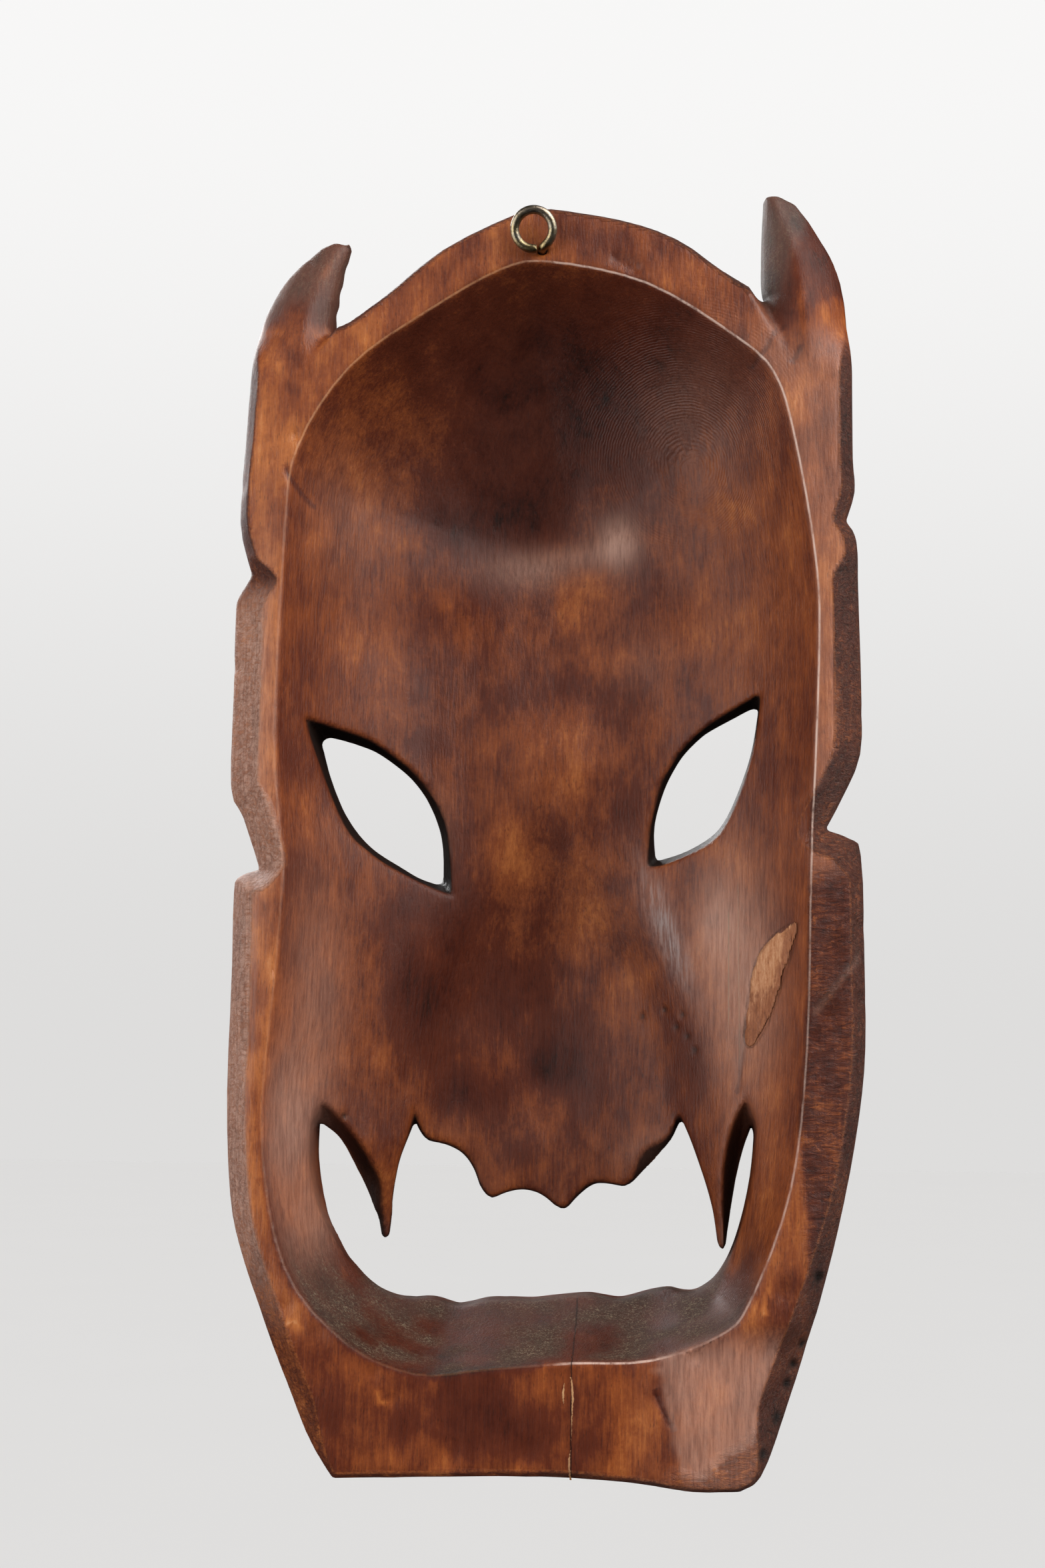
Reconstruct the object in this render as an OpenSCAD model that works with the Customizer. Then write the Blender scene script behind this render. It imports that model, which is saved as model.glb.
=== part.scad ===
// Carved wooden demon mask with horns and fangs, hollow behind, hung by a bent screw eye.
// +Z is up, the face looks along -Y, and the hollow back opens along +Y.
// The origin is the centre of the screw eye's ring.

/* [Mask body] */
// Height from the chin to the tip of the taller horn
mask_h = 354; // [300:1:420]
// Width across the ear lobes
mask_w = 174; // [150:1:205]
// Depth of the hollow at the edge of the central bowl
hollow_depth = 45; // [40:1:48]
// Depth of the outer wall at the sides
side_depth = 24; // [22:1:30]
// Extra depth of the face above the outer wall, without nose and brows
face_rise = 36; // [34:1:42]
// How far the top of the back bows away from the plane of the chin
rim_bow = 2.8; // [1:0.1:5]

/* [Face relief] */
// Height of the brow ridges
brow_rise = 9; // [3:0.5:12]
// Height of the nose tip
nose_rise = 19; // [8:0.5:22]
// Height of the cheeks
cheek_rise = 8; // [3:0.5:12]
// Thickness of a horn, front to back, at its base
horn_depth = 24; // [16:1:30]

/* [Screw eye] */
// Outside diameter of the ring
ring_d = 13.1; // [12.5:0.1:16]
// Wire diameter
wire_d = 2.5; // [2:0.1:3]
// Length of the shank in the wood
shank_l = 14; // [8:1:16]
// Angle between the ring and the back plane
ring_lean = 20; // [10:1:30]
// Radial clearance of the shank in its pilot hole
pilot_gap = 0.05; // [0.02:0.01:0.1]

/* [Repairs] */
// Width of the filled split in the chin
split_w = 0.9; // [0.5:0.1:1.5]
// Depth of the filler in the chin split
split_depth = 9; // [4:1:12]
// Depth of the filler in the cheek
filler_depth = 2.5; // [1.5:0.5:4]

/* [Hidden] */

NOMINAL_H = 354;
NOMINAL_W = 174;
STRETCH = [mask_w / NOMINAL_W, mask_h / NOMINAL_H];

// Outline strokes of each side as [x, z], from the top centre down to the bottom centre.
// The two sides have equally many points in each stroke, and strokes meet in sharp corners.
SIDE_NEG = [
    [[0, 162.5], [-20, 158.5], [-35, 153], [-50, 143], [-61.5, 135]],
    [[-61.5, 135], [-82.8, 120]],
    [[-82.8, 120], [-83.3, 108], [-83.5, 91], [-84, 82], [-81.5, 73.5]],
    [[-81.5, 73.5], [-84.5, 68], [-85, 53], [-85.5, 26], [-85, 9], [-80, -3], [-75.5, -11.5]],
    [[-75.5, -11.5], [-82, -14], [-84.5, -18.5], [-84.5, -46], [-83, -75], [-76.5, -110],
        [-71.5, -133], [-66, -155], [-61, -168], [-56, -181.5], [-51, -185]],
    [[-51, -185], [-39, -185], [-23, -183], [0, -182]]
];
SIDE_POS = [
    [[0, 162.5], [10.5, 161], [30.5, 151], [48, 137], [60, 127.5]],
    [[60, 127.5], [84.5, 117]],
    [[84.5, 117], [85.5, 108], [86, 98], [87, 75], [83.5, 60]],
    [[83.5, 60], [87.5, 53.5], [88, 48], [88, 27], [88, 0], [84.5, -8], [79.5, -22.5]],
    [[79.5, -22.5], [85, -24.5], [86.5, -29], [86.5, -53], [87, -83], [85.5, -110],
        [82.5, -124.5], [77, -139.5], [70.5, -156], [63, -172], [55, -183.5]],
    [[55, -183.5], [40, -183], [24, -182.5], [0, -182]]
];
STROKE_STEPS = [3, 3, 2, 2, 2, 2];

// Inner edge of the flat rim, where the hollow starts, as a closed loop of [x, z].
RIM_EDGE = [
    [0, 146], [-27, 139.5], [-51.5, 124], [-62, 114], [-67.5, 96], [-73, 61], [-73.5, 34],
    [-71, -22], [-69.5, -70], [-65, -107], [-54, -136.5], [-46, -145], [-28, -151.5],
    [-7.5, -152.5], [15, -154.5], [33, -156], [51.5, -148.5], [68.5, -129], [75.5, -94],
    [73, -53], [71.5, -23], [74.5, 13], [73, 72], [70, 95], [56, 117], [35, 132], [14, 144]
];

// Eye openings: the upper lid and then the lower lid, from the outer corner and back to it.
EYE_POS = [
    [[68, 20], [56.5, 18.5], [46, 12.5], [37, 3], [31.5, -6], [29.5, -27]],
    [[29.5, -27], [39.5, -24], [49.5, -17.5], [57.5, -8.5], [63, 3], [68, 20]]
];
EYE_NEG = [
    [[-58.5, 28.5], [-49.5, 25], [-39.5, 17], [-33, 9.5], [-29, -1], [-27, -19]],
    [[-27, -19], [-36.5, -16.5], [-45.5, -12.5], [-52, -2], [-56.5, 12], [-58.5, 28.5]]
];

// Mouth opening: side, scalloped lower lip, side, fang, scalloped upper lip, fang.
MOUTH = [
    [[63.5, -85.5], [64.5, -95.5], [63, -110.5], [59, -124], [51, -134], [45, -139], [38.5, -140]],
    [[38.5, -140], [31, -139.5], [24.5, -141.5], [15, -140], [3, -140], [-5.5, -138.5]],
    [[-5.5, -138.5], [-13, -138.5], [-19.5, -139.5], [-33, -136.5], [-39.5, -136.5]],
    [[-39.5, -136.5], [-45.5, -132.5], [-50.5, -124], [-55, -110.5], [-56.5, -94], [-55.5, -85]],
    [[-55.5, -85], [-53, -104], [-50.5, -115], [-48, -124.5]],
    [[-48, -124.5], [-47, -124.5]],
    [[-47, -124.5], [-44.5, -111.5], [-40.5, -100.5], [-36, -89.5]],
    [[-36, -89.5], [-32, -95.5], [-26.5, -98.5], [-25, -104], [-21, -109.5]],
    [[-21, -109.5], [-14, -109], [-9, -111.5], [-3, -116]],
    [[-3, -116], [5.5, -111], [11.5, -111], [18, -113]],
    [[18, -113], [22, -108], [24.5, -102.5], [30, -99], [35.5, -97], [40, -90.5]],
    [[40, -90.5], [42, -97.5], [45, -107.5], [46.5, -123.5]],
    [[46.5, -123.5], [48, -123.5]],
    [[48, -123.5], [51, -111.5], [56.5, -99], [63.5, -85.5]]
];
OPENING_STEPS = 2;

// Horn sections: height, inner x, outer x, depth of the middle, share of the base thickness.
HORN_NEG = [
    [116, -62, -80, 14, 0.95], [131, -61, -82.7, 13.5, 1], [141, -59.8, -81.5, 13, 0.9],
    [149, -59.8, -79.2, 12.5, 0.78], [156, -60, -75.5, 12, 0.64], [161.5, -60.2, -72, 12, 0.5],
    [166, -60.3, -68.5, 12, 0.34], [169, -60.5, -64, 12, 0.16]
];
HORN_POS = [
    [112, 64, 82, 14, 0.95], [128, 62, 84.2, 14, 1], [134, 61.8, 82.7, 14, 0.92],
    [141, 61.5, 80, 14, 0.8], [147, 60.5, 76.5, 14, 0.68], [153, 59.2, 71.5, 14, 0.52],
    [156.5, 58.2, 67, 14, 0.36], [158.3, 58.8, 63, 14, 0.18]
];
HORN_CORNERS = 16;
HORN_SQUARENESS = 0.7;

// The middle line of the mask, towards which every ring of the skin shrinks.
MIDLINE_TOP = 72;
MIDLINE_BOTTOM = -96;

// Shares of the way to the middle line at which the back and front skins have rings.
HOLLOW_RINGS = [0.04, 0.09, 0.15, 0.22, 0.31, 0.41, 0.52, 0.64, 0.76, 0.87, 0.95];
FACE_RINGS = [0.04, 0.1, 0.18, 0.26, 0.34, 0.42, 0.5, 0.58, 0.66, 0.74, 0.82, 0.9, 0.96];

// Hollow: wall run-out length in the bowl and at the chin, and hills as
// [x, z, radius x, radius z, extra depth].
WALL_RUN = 20;
CHIN_WALL_RUN = 9;
HOLLOW_HILLS = [[5, 75, 24, 22, 7], [-22, 72, 9, 8, -3], [0, 8, 20, 22, -6], [0, -62, 24, 30, 9]];

// Face: rise length from the outer wall, and hills in the middle and in mirrored pairs.
FACE_RUN = 40;
MIDDLE_HILLS = [
    [0, 88, 38, 32, 5], [0, -12, 11, 34, 9], [0, -60, 17, 18, nose_rise],
    [0, -146, 48, 6, 6], [0, -170, 28, 14, 4]
];
PAIRED_HILLS = [[17, -64, 9, 9, 8], [44, -46, 20, 20, cheek_rise], [30, -84, 26, 6, 5], [46, 0, 26, 15, -4]];
BROW = [37, 45];
BROW_SIZE = [32, 10];
BROW_SLOPE = 33;

// Bow of the back: the height where it starts and the height that it is measured over.
BOW_START = -100;
BOW_SPAN = 260;

// Heights, and distances from the rim and the edge, over which shapes fade in or out.
CHIN_RUN_FADE = [-135, -95];
RIM_FADE = [5, 25];
EDGE_FADE = [4, 24];
BEVEL_LOW = [-184, -160];
BEVEL_HIGH = [118, 132];
JAW_FADE = [-120, -90];

// Bevel of the back's edge: at the top and bottom, then extra on the +X side, on the -X side and at its jaw.
BEVEL_IN = [1.5, 5.5, 2, 3];
BEVEL_DEEP = [2, 6, 2, 9];

// Places of the small pieces on the back.
RING_SPOT = [4.5, 155.5];
RING_STANDOFF = 3.8;
FREE_END_ANGLE = -102;
RING_ARC = 347;
NECK_SWELL = 1.12;
SHANK_TIP = 3;
TIP_TAPER = 5;
BORE_OVERRUN = 5;
SPLIT_SPOT = [-7.8, -154.5];
CHEEK_SPOT = [-61, -16.9, -53];
CHEEK_WALL_ANGLE = 54;
CHEEK_OUTLINE = [[-7, 15], [-8, 6], [-5, -6], [1, -13], [7, -17], [8, -8], [6, 3], [0, 11]];
CHEEK_REACH = 12;
BLOCK_REACH = 200;

// Moves a piece from the carving's own frame, with its chin plane at y = 0, to the ring's centre.
module at_block() {
    translate([-RING_SPOT.x, -ring_y(), -RING_SPOT.y]) children();
}

function ring_y() = RING_STANDOFF - bow(RING_SPOT.y);
function ring_mean_r() = (ring_d - wire_d) / 2;

// Where the wire bends from the ring into the shank, in the ring's own plane.
function neck_spot() = let (a = FREE_END_ANGLE + RING_ARC) ring_mean_r() * [cos(a), sin(a)];
function shank_x() = RING_SPOT.x + neck_spot().x;
function shank_z() = RING_SPOT.y + neck_spot().y * cos(ring_lean);

// ---- curves ----

function mix_points(a, b, c, d, t) = 0.5 * (2 * b + (c - a) * t
    + (2 * a - 5 * b + 4 * c - d) * t * t + (3 * b - a - 3 * c + d) * t * t * t);

// A smooth curve through the points of one stroke, without its last point.
function open_curve(p, steps) = let (last = len(p) - 1) [
    for (i = [0 : last - 1], j = [0 : steps - 1])
        mix_points(p[max(i - 1, 0)], p[i], p[i + 1], p[min(i + 2, last)], j / steps)
];

function closed_curve(p, steps) = let (n = len(p)) [
    for (i = [0 : n - 1], j = [0 : steps - 1])
        mix_points(p[(i + n - 1) % n], p[i], p[(i + 1) % n], p[(i + 2) % n], j / steps)
];

function stretched(points) = [for (p = points) [p.x * STRETCH.x, p.y * STRETCH.y]];

function side(strokes) = [
    for (i = [0 : len(strokes) - 1]) each open_curve(strokes[i], STROKE_STEPS[i])
];

function opening(strokes) = stretched([for (s = strokes) each open_curve(s, OPENING_STEPS)]);

function reversed(points) = [for (i = [len(points) - 1 : -1 : 0]) points[i]];

// ---- the rings of the skin ----

NEG = side(SIDE_NEG);
POS = side(SIDE_POS);
HALF = len(NEG);
BOTTOM = SIDE_NEG[len(SIDE_NEG) - 1];
OUTLINE = stretched(concat(NEG, [BOTTOM[len(BOTTOM) - 1]], reversed([for (i = [1 : HALF - 1]) POS[i]])));
COUNT = len(OUTLINE);
RIM_STEPS = 4;
RIM = stretched(closed_curve(RIM_EDGE, RIM_STEPS));

function cross_2d(a, b) = a.x * b.y - a.y * b.x;
function clamp(v, low, high) = min(max(v, low), high);
function middle_of(p) = [0, clamp(p.y, MIDLINE_BOTTOM * STRETCH.y, MIDLINE_TOP * STRETCH.y)];

// Where the line from m along d crosses the rim edge, as a share of d.
function rim_share(m, d) = max([
    for (i = [0 : len(RIM) - 1])
        let (a = RIM[i], e = RIM[(i + 1) % len(RIM)] - a, w = cross_2d(d, e))
        if (abs(w) > 0.0001)
            let (t = cross_2d(a - m, e) / w, s = cross_2d(a - m, d) / w)
            if (s >= 0 && s <= 1 && t > 0) t
]);

MIDDLE = [for (p = OUTLINE) middle_of(p)];
RIM_RING = [
    for (i = [0 : COUNT - 1]) let (spoke = OUTLINE[i] - MIDDLE[i])
        MIDDLE[i] + spoke * rim_share(MIDDLE[i], spoke)
];

// ---- depth of the back and of the face behind the plane of the chin ----

function smooth(v, low, high) = let (t = clamp((v - low) / (high - low), 0, 1)) t * t * (3 - 2 * t);
function hill(p, h) = h[4] * exp(-pow((p.x - h[0]) / h[2], 2) - pow((p.y - h[1]) / h[3], 2));
function hills(p, list) = let (values = [for (h = list) hill(p, h)]) values * [for (v = values) 1];

function bow(z) = rim_bow * pow(max(z - BOW_START, 0) / BOW_SPAN, 2);
function hollow(p, from_rim) = let (
    run = CHIN_WALL_RUN + (WALL_RUN - CHIN_WALL_RUN) * smooth(p.y, CHIN_RUN_FADE[0], CHIN_RUN_FADE[1]),
    level = 1 - exp(-from_rim / run)
) bow(p.y) + level * (hollow_depth + hills(p, HOLLOW_HILLS) * smooth(from_rim, RIM_FADE[0], RIM_FADE[1]));

function brow(p) = let (
    q = [abs(p.x) - BROW.x, p.y - BROW.y],
    along = q.x * cos(BROW_SLOPE) + q.y * sin(BROW_SLOPE),
    across = q.y * cos(BROW_SLOPE) - q.x * sin(BROW_SLOPE)
) brow_rise * exp(-pow(along / BROW_SIZE.x, 4) - pow(across / BROW_SIZE.y, 2));
function face(p, from_edge) = side_depth + face_rise * (1 - exp(-from_edge / FACE_RUN))
    + (hills(p, MIDDLE_HILLS) + hills([abs(p.x), p.y], PAIRED_HILLS) + brow(p))
        * smooth(from_edge, EDGE_FADE[0], EDGE_FADE[1]);

// The bevel between the flat rim and the widest part of the side.
function side_share(p) = smooth(p.y, BEVEL_LOW[0], BEVEL_LOW[1])
    * (1 - smooth(p.y, BEVEL_HIGH[0], BEVEL_HIGH[1]));
function jaw_share(p) = 1 - smooth(p.y, JAW_FADE[0], JAW_FADE[1]);
function bevel(p, sizes) = sizes[0]
    + side_share(p) * (p.x > 0 ? sizes[1] : sizes[2] + sizes[3] * jaw_share(p));
function bevel_in(p) = bevel(p, BEVEL_IN);
function bevel_deep(p) = bevel(p, BEVEL_DEEP);

function toward_middle(i, from, share) = from + (MIDDLE[i] - from) * share;
function skin_point(p, depth) = [p.x, -depth, p.y];

INDEX = [for (i = [0 : COUNT - 1]) i];
BACK_RINGS = [
    for (share = reversed(HOLLOW_RINGS)) [
        for (i = INDEX) let (p = toward_middle(i, RIM_RING[i], share))
            skin_point(p, hollow(p, norm(p - RIM_RING[i])))
    ]
];
EDGE_RINGS = [
    [for (i = INDEX) skin_point(RIM_RING[i], bow(RIM_RING[i].y))],
    [for (i = INDEX) let (
        share = bevel_in(OUTLINE[i]) / norm(OUTLINE[i] - MIDDLE[i]),
        p = toward_middle(i, OUTLINE[i], share)
    ) skin_point(p, bow(p.y))],
    [for (i = INDEX) skin_point(OUTLINE[i], bow(OUTLINE[i].y) + bevel_deep(OUTLINE[i]))],
    [for (i = INDEX) skin_point(OUTLINE[i], side_depth)]
];
FRONT_RINGS = [
    for (share = FACE_RINGS) [
        for (i = INDEX) let (p = toward_middle(i, OUTLINE[i], share))
            skin_point(p, face(p, norm(p - OUTLINE[i])))
    ]
];
RINGS = concat(BACK_RINGS, EDGE_RINGS, FRONT_RINGS);

// Triangles between neighbouring rings of n points each.
function band_faces(rings, n) = [
    for (r = [0 : rings - 2], i = [0 : n - 1]) let (
        a = r * n + i,
        b = r * n + (i + 1) % n
    ) each [[a, b + n, b], [a, a + n, b + n]]
];

// Triangles that close a ring across its middle line.
function zip_faces(start, n) = [
    for (i = [0 : n / 2 - 1]) let (a = i, b = i + 1, c = (n - i - 1) % n, d = (n - i) % n) each concat(
        b != c ? [[start + a, start + b, start + c]] : [],
        a != d ? [[start + a, start + c, start + d]] : []
    )
];

function flipped(faces) = [for (f = faces) reversed(f)];

module block() {
    polyhedron(
        points = [for (ring = RINGS) each ring],
        faces = concat(
            band_faces(len(RINGS), COUNT),
            zip_faces(0, COUNT),
            flipped(zip_faces((len(RINGS) - 1) * COUNT, COUNT))
        )
    );
}

// ---- horns ----

// A circle's coordinate pulled towards a square with round corners.
function squared(v) = sign(v) * pow(abs(v), HORN_SQUARENESS);
function horn_ring(s) = [
    for (i = [0 : HORN_CORNERS - 1]) let (a = 360 * i / HORN_CORNERS) [
        ((s[1] + s[2]) / 2 + abs(s[2] - s[1]) / 2 * squared(cos(a))) * STRETCH.x,
        -s[3] + s[4] * horn_depth / 2 * squared(sin(a)),
        s[0] * STRETCH.y
    ]
];

module horn(sections) {
    last = (len(sections) - 1) * HORN_CORNERS;
    polyhedron(
        points = [for (s = sections) each horn_ring(s)],
        faces = concat(
            band_faces(len(sections), HORN_CORNERS),
            [[for (i = [0 : HORN_CORNERS - 1]) i]],
            [[for (i = [HORN_CORNERS - 1 : -1 : 0]) last + i]]
        )
    );
}

// ---- cutters ----

module along_y(low, high) {
    translate([0, high, 0]) rotate([90, 0, 0]) linear_extrude(high - low) children();
}

module opening_cutter(strokes) {
    along_y(-BLOCK_REACH, BLOCK_REACH) polygon(opening(strokes));
}

module chin_split() {
    spot = stretched([SPLIT_SPOT])[0];
    translate([spot.x - split_w / 2, -split_depth, -BLOCK_REACH])
        cube([split_w, 2 * split_depth, BLOCK_REACH + spot.y]);
}

module cheek_pocket() {
    translate([CHEEK_SPOT.x * STRETCH.x, CHEEK_SPOT.y, CHEEK_SPOT.z * STRETCH.y])
        rotate([0, 0, -CHEEK_WALL_ANGLE])
            along_y(-filler_depth, CHEEK_REACH) polygon(closed_curve(CHEEK_OUTLINE, OPENING_STEPS));
}

module pilot_hole() {
    translate([shank_x(), -bow(RING_SPOT.y) - shank_l, shank_z()]) rotate([-90, 0, 0])
        cylinder(h = shank_l + BORE_OVERRUN, d = wire_d + 2 * pilot_gap, $fn = 48);
}

// ---- sub-parts ----

module mask_body() {
    color("saddlebrown") at_block() difference() {
        union() {
            block();
            horn(HORN_NEG);
            horn(HORN_POS);
        }
        opening_cutter(EYE_POS);
        opening_cutter(EYE_NEG);
        opening_cutter(MOUTH);
        chin_split();
        cheek_pocket();
        pilot_hole();
    }
}

module screw_eye() {
    neck_y = ring_y() + neck_spot().y * sin(ring_lean);
    tip_y = -bow(RING_SPOT.y) - shank_l;
    color("darkkhaki") at_block() union() {
        translate([RING_SPOT.x, ring_y(), RING_SPOT.y]) rotate([90 - ring_lean, 0, 0])
            rotate([0, 0, FREE_END_ANGLE]) rotate_extrude(angle = RING_ARC, $fn = 96)
                translate([ring_mean_r(), 0]) circle(d = wire_d, $fn = 32);
        translate([shank_x(), neck_y, shank_z()]) sphere(d = wire_d * NECK_SWELL, $fn = 48);
        translate([shank_x(), neck_y, shank_z()]) rotate([90, 0, 0])
            cylinder(h = neck_y - tip_y - SHANK_TIP, d = wire_d, $fn = 48);
        translate([shank_x(), tip_y + SHANK_TIP, shank_z()]) rotate([90, 0, 0])
            cylinder(h = SHANK_TIP, d1 = wire_d, d2 = wire_d / TIP_TAPER, $fn = 48);
    }
}

module chin_split_glue() {
    color("tan") at_block() intersection() {
        block();
        chin_split();
    }
}

module cheek_split_filler() {
    color("burlywood") at_block() intersection() {
        block();
        cheek_pocket();
    }
}

mask_body();
screw_eye();
chin_split_glue();
cheek_split_filler();
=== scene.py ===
"""Looks of the carved demon mask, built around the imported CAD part."""

import math
from types import SimpleNamespace

import bpy
import numpy as np
from mathutils import Matrix, Vector


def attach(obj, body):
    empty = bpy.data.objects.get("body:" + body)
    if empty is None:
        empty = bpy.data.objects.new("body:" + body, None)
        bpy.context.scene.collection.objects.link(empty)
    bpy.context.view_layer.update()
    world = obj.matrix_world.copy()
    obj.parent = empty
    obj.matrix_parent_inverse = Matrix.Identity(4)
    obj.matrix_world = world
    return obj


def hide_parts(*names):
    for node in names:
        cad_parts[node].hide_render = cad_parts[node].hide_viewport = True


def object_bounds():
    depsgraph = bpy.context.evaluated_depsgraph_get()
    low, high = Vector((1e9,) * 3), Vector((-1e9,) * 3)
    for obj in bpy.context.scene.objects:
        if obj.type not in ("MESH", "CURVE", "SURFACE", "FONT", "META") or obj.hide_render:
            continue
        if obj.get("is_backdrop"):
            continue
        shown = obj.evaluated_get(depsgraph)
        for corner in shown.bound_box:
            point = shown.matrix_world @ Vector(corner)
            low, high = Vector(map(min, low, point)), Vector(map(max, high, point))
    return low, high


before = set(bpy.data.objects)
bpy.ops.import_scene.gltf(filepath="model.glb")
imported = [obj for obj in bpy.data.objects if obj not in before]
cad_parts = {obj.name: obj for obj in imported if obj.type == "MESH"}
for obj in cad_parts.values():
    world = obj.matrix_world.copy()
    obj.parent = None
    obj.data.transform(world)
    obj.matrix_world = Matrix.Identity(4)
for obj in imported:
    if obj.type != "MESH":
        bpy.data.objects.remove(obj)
CAD_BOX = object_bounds()

MM = 0.001
# The carving frame has x and z as the row frame and depth d away from the back of the chin.
# These are its x, d and z at the row frame's origin, in mm.
RING_X, RING_D, RING_Z = 4.5, -1.0961, 155.5


def to_row(points):
    """Carving-frame points (x, d, z) in mm as row-frame points in metres."""
    p = np.asarray(points, float)
    return np.stack([p[:, 0] - RING_X, RING_D - p[:, 1], p[:, 2] - RING_Z], 1) * MM


# ---------------------------------------------------------------- curves and fields


def curve(points, steps=4, closed=False):
    """A smooth curve through the points."""
    p = np.asarray(points, float)
    if closed:
        p = np.concatenate([p[-1:], p, p[:2]])
    else:
        p = np.concatenate([2 * p[:1] - p[1:2], p, 2 * p[-1:] - p[-2:-1]])
    out = []
    for a, b, c, d in zip(p[:-3], p[1:-2], p[2:-1], p[3:]):
        for t in np.arange(steps) / steps:
            out.append(
                0.5 * (2 * b + (c - a) * t + (2 * a - 5 * b + 4 * c - d) * t**2
                + (3 * b - a - 3 * c + d) * t**3)
            )
    if not closed:
        out.append(p[-2])
    return np.array(out)


def loop(strokes, steps=3):
    """A closed outline of smooth strokes that meet in corners."""
    return np.concatenate([curve(s, steps)[:-1] for s in strokes])


def smooth(v, low, high):
    t = np.clip((v - low) / (high - low), 0, 1)
    return t * t * (3 - 2 * t)


def near_line(distance, width):
    """1 on a line, falling to almost nothing at twice the width from it."""
    return np.exp(-((distance / width) ** 2))


GRID = 0.9
XS = np.arange(-93, 93 + GRID, GRID)
ZS = np.arange(-190, 174 + GRID, GRID)
DS = np.arange(-4, 82, GRID)
X, Z = np.meshgrid(XS, ZS, indexing="ij")


def signed_distance(outline, x=X, z=Z):
    """Distance to a closed outline, above 0 inside it."""
    best = np.full(x.shape, 1e9)
    inside = np.zeros(x.shape, bool)
    for (ax, az), (bx, bz) in zip(outline, np.roll(outline, -1, 0)):
        ex, ez = bx - ax, bz - az
        t = np.clip(((x - ax) * ex + (z - az) * ez) / (ex * ex + ez * ez + 1e-12), 0, 1)
        best = np.minimum(best, (x - ax - t * ex) ** 2 + (z - az - t * ez) ** 2)
        if ez:
            inside ^= ((az > z) != (bz > z)) & (x < ax + (z - az) * ex / ez)
    return np.where(inside, 1, -1) * np.sqrt(best)


def stroke(points, x=X, z=Z, steps=4):
    """Distance to an open curve, and the share of its length at the nearest point."""
    line = curve(points, steps)
    lengths = np.concatenate([[0], np.cumsum(np.hypot(*np.diff(line, axis=0).T))])
    best = np.full(x.shape, 1e9)
    along = np.zeros(x.shape)
    for k, ((ax, az), (bx, bz)) in enumerate(zip(line[:-1], line[1:])):
        ex, ez = bx - ax, bz - az
        t = np.clip(((x - ax) * ex + (z - az) * ez) / (ex * ex + ez * ez + 1e-12), 0, 1)
        far = (x - ax - t * ex) ** 2 + (z - az - t * ez) ** 2
        nearer = far < best
        along[nearer] = ((lengths[k] + t * (lengths[k + 1] - lengths[k])) / lengths[-1])[nearer]
        best = np.minimum(best, far)
    return np.sqrt(best), along


def noise(size_x, size_z, seed, x=X, z=Z):
    """Smooth noise from -1 to 1 whose bumps are about that size in mm."""
    rng = np.random.default_rng(seed)
    cells = int(200 / size_x) + 4, int(400 / size_z) + 4
    lattice = rng.uniform(-1, 1, cells)
    u, v = (x + 96) / size_x, (z + 194) / size_z
    i = np.clip(u.astype(int), 0, cells[0] - 2)
    j = np.clip(v.astype(int), 0, cells[1] - 2)
    s, t = smooth(u - i, 0, 1), smooth(v - j, 0, 1)
    low = lattice[i, j] * (1 - s) + lattice[i + 1, j] * s
    high = lattice[i, j + 1] * (1 - s) + lattice[i + 1, j + 1] * s
    return low * (1 - t) + high * t


def bump(cx, cz, rx, rz, x=X, z=Z, power=2):
    return np.exp(-np.abs((x - cx) / rx) ** power - np.abs((z - cz) / rz) ** power)


# ---------------------------------------------------------------- outlines, as [x, z] in mm

# Most of these are lists of measured places that a helper program printed, and not a design from
# a few dimensions. They are an open failure, so they are no example to follow.

OUTLINE = loop(
    [
        [[0, 164], [-20, 160.2], [-35, 154.6], [-48, 144.8], [-55.5, 139.6], [-60.2, 138.4]],
        [[-60.2, 138.4], [-59.4, 140], [-58.9, 143], [-58.9, 149], [-59.1, 158], [-59.7, 168.8]],
        [[-59.7, 168.8], [-64.6, 168.7], [-69, 167.4]],
        [[-69, 167.4], [-72.8, 162.4], [-76.4, 156.4], [-80, 149.6], [-82.2, 141.5], [-83.2, 131],
        [-83.8, 120],
         [-83.8, 108], [-83.8, 91], [-84.2, 82], [-81.7, 73.5]],
        [[-81.7, 73.5], [-84.5, 68], [-85, 53], [-85.5, 26], [-85, 9], [-80, -3], [-75.5, -11.5]],
        [[-75.5, -11.5], [-82, -14], [-84.9, -18.5], [-85.4, -46], [-85.4, -70], [-83.6, -88], [-79.6, -110],
         [-75, -130], [-69, -152], [-63.4, -168], [-57, -181.5], [-51.5, -185]],
        [[-51.5, -185], [-39, -185], [-23, -183], [0, -182], [24, -182.5], [40, -183], [55, -183.5]],
        [[55, -183.5], [63, -172], [70.5, -156], [77, -139.5], [82.5, -124.5], [85.5, -110], [87, -83],
         [86.5, -53], [86.5, -29], [85, -24.5], [79.5, -22.5]],
        [[79.5, -22.5], [84.5, -8], [88, 0], [88, 27], [88, 48], [87.5, 53.5], [83.5, 60]],
        [[83.5, 60], [87, 75], [86, 98], [85.5, 108], [84.8, 120], [83.8, 131], [81.3, 138.8], [77, 146.7],
         [71.6, 152.4], [66.6, 156.6]],
        [[66.6, 156.6], [62.5, 157.8], [57.7, 156.8]],
        [[57.7, 156.8], [59.6, 149.5], [61.2, 141.4], [61.9, 136], [62.2, 128.4]],
        [[62.2, 128.4], [60.4, 129.6], [56, 131.4], [46.5, 139.2], [30.5, 152.4], [10.5, 162.4], [0, 164]],
    ]
)
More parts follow.
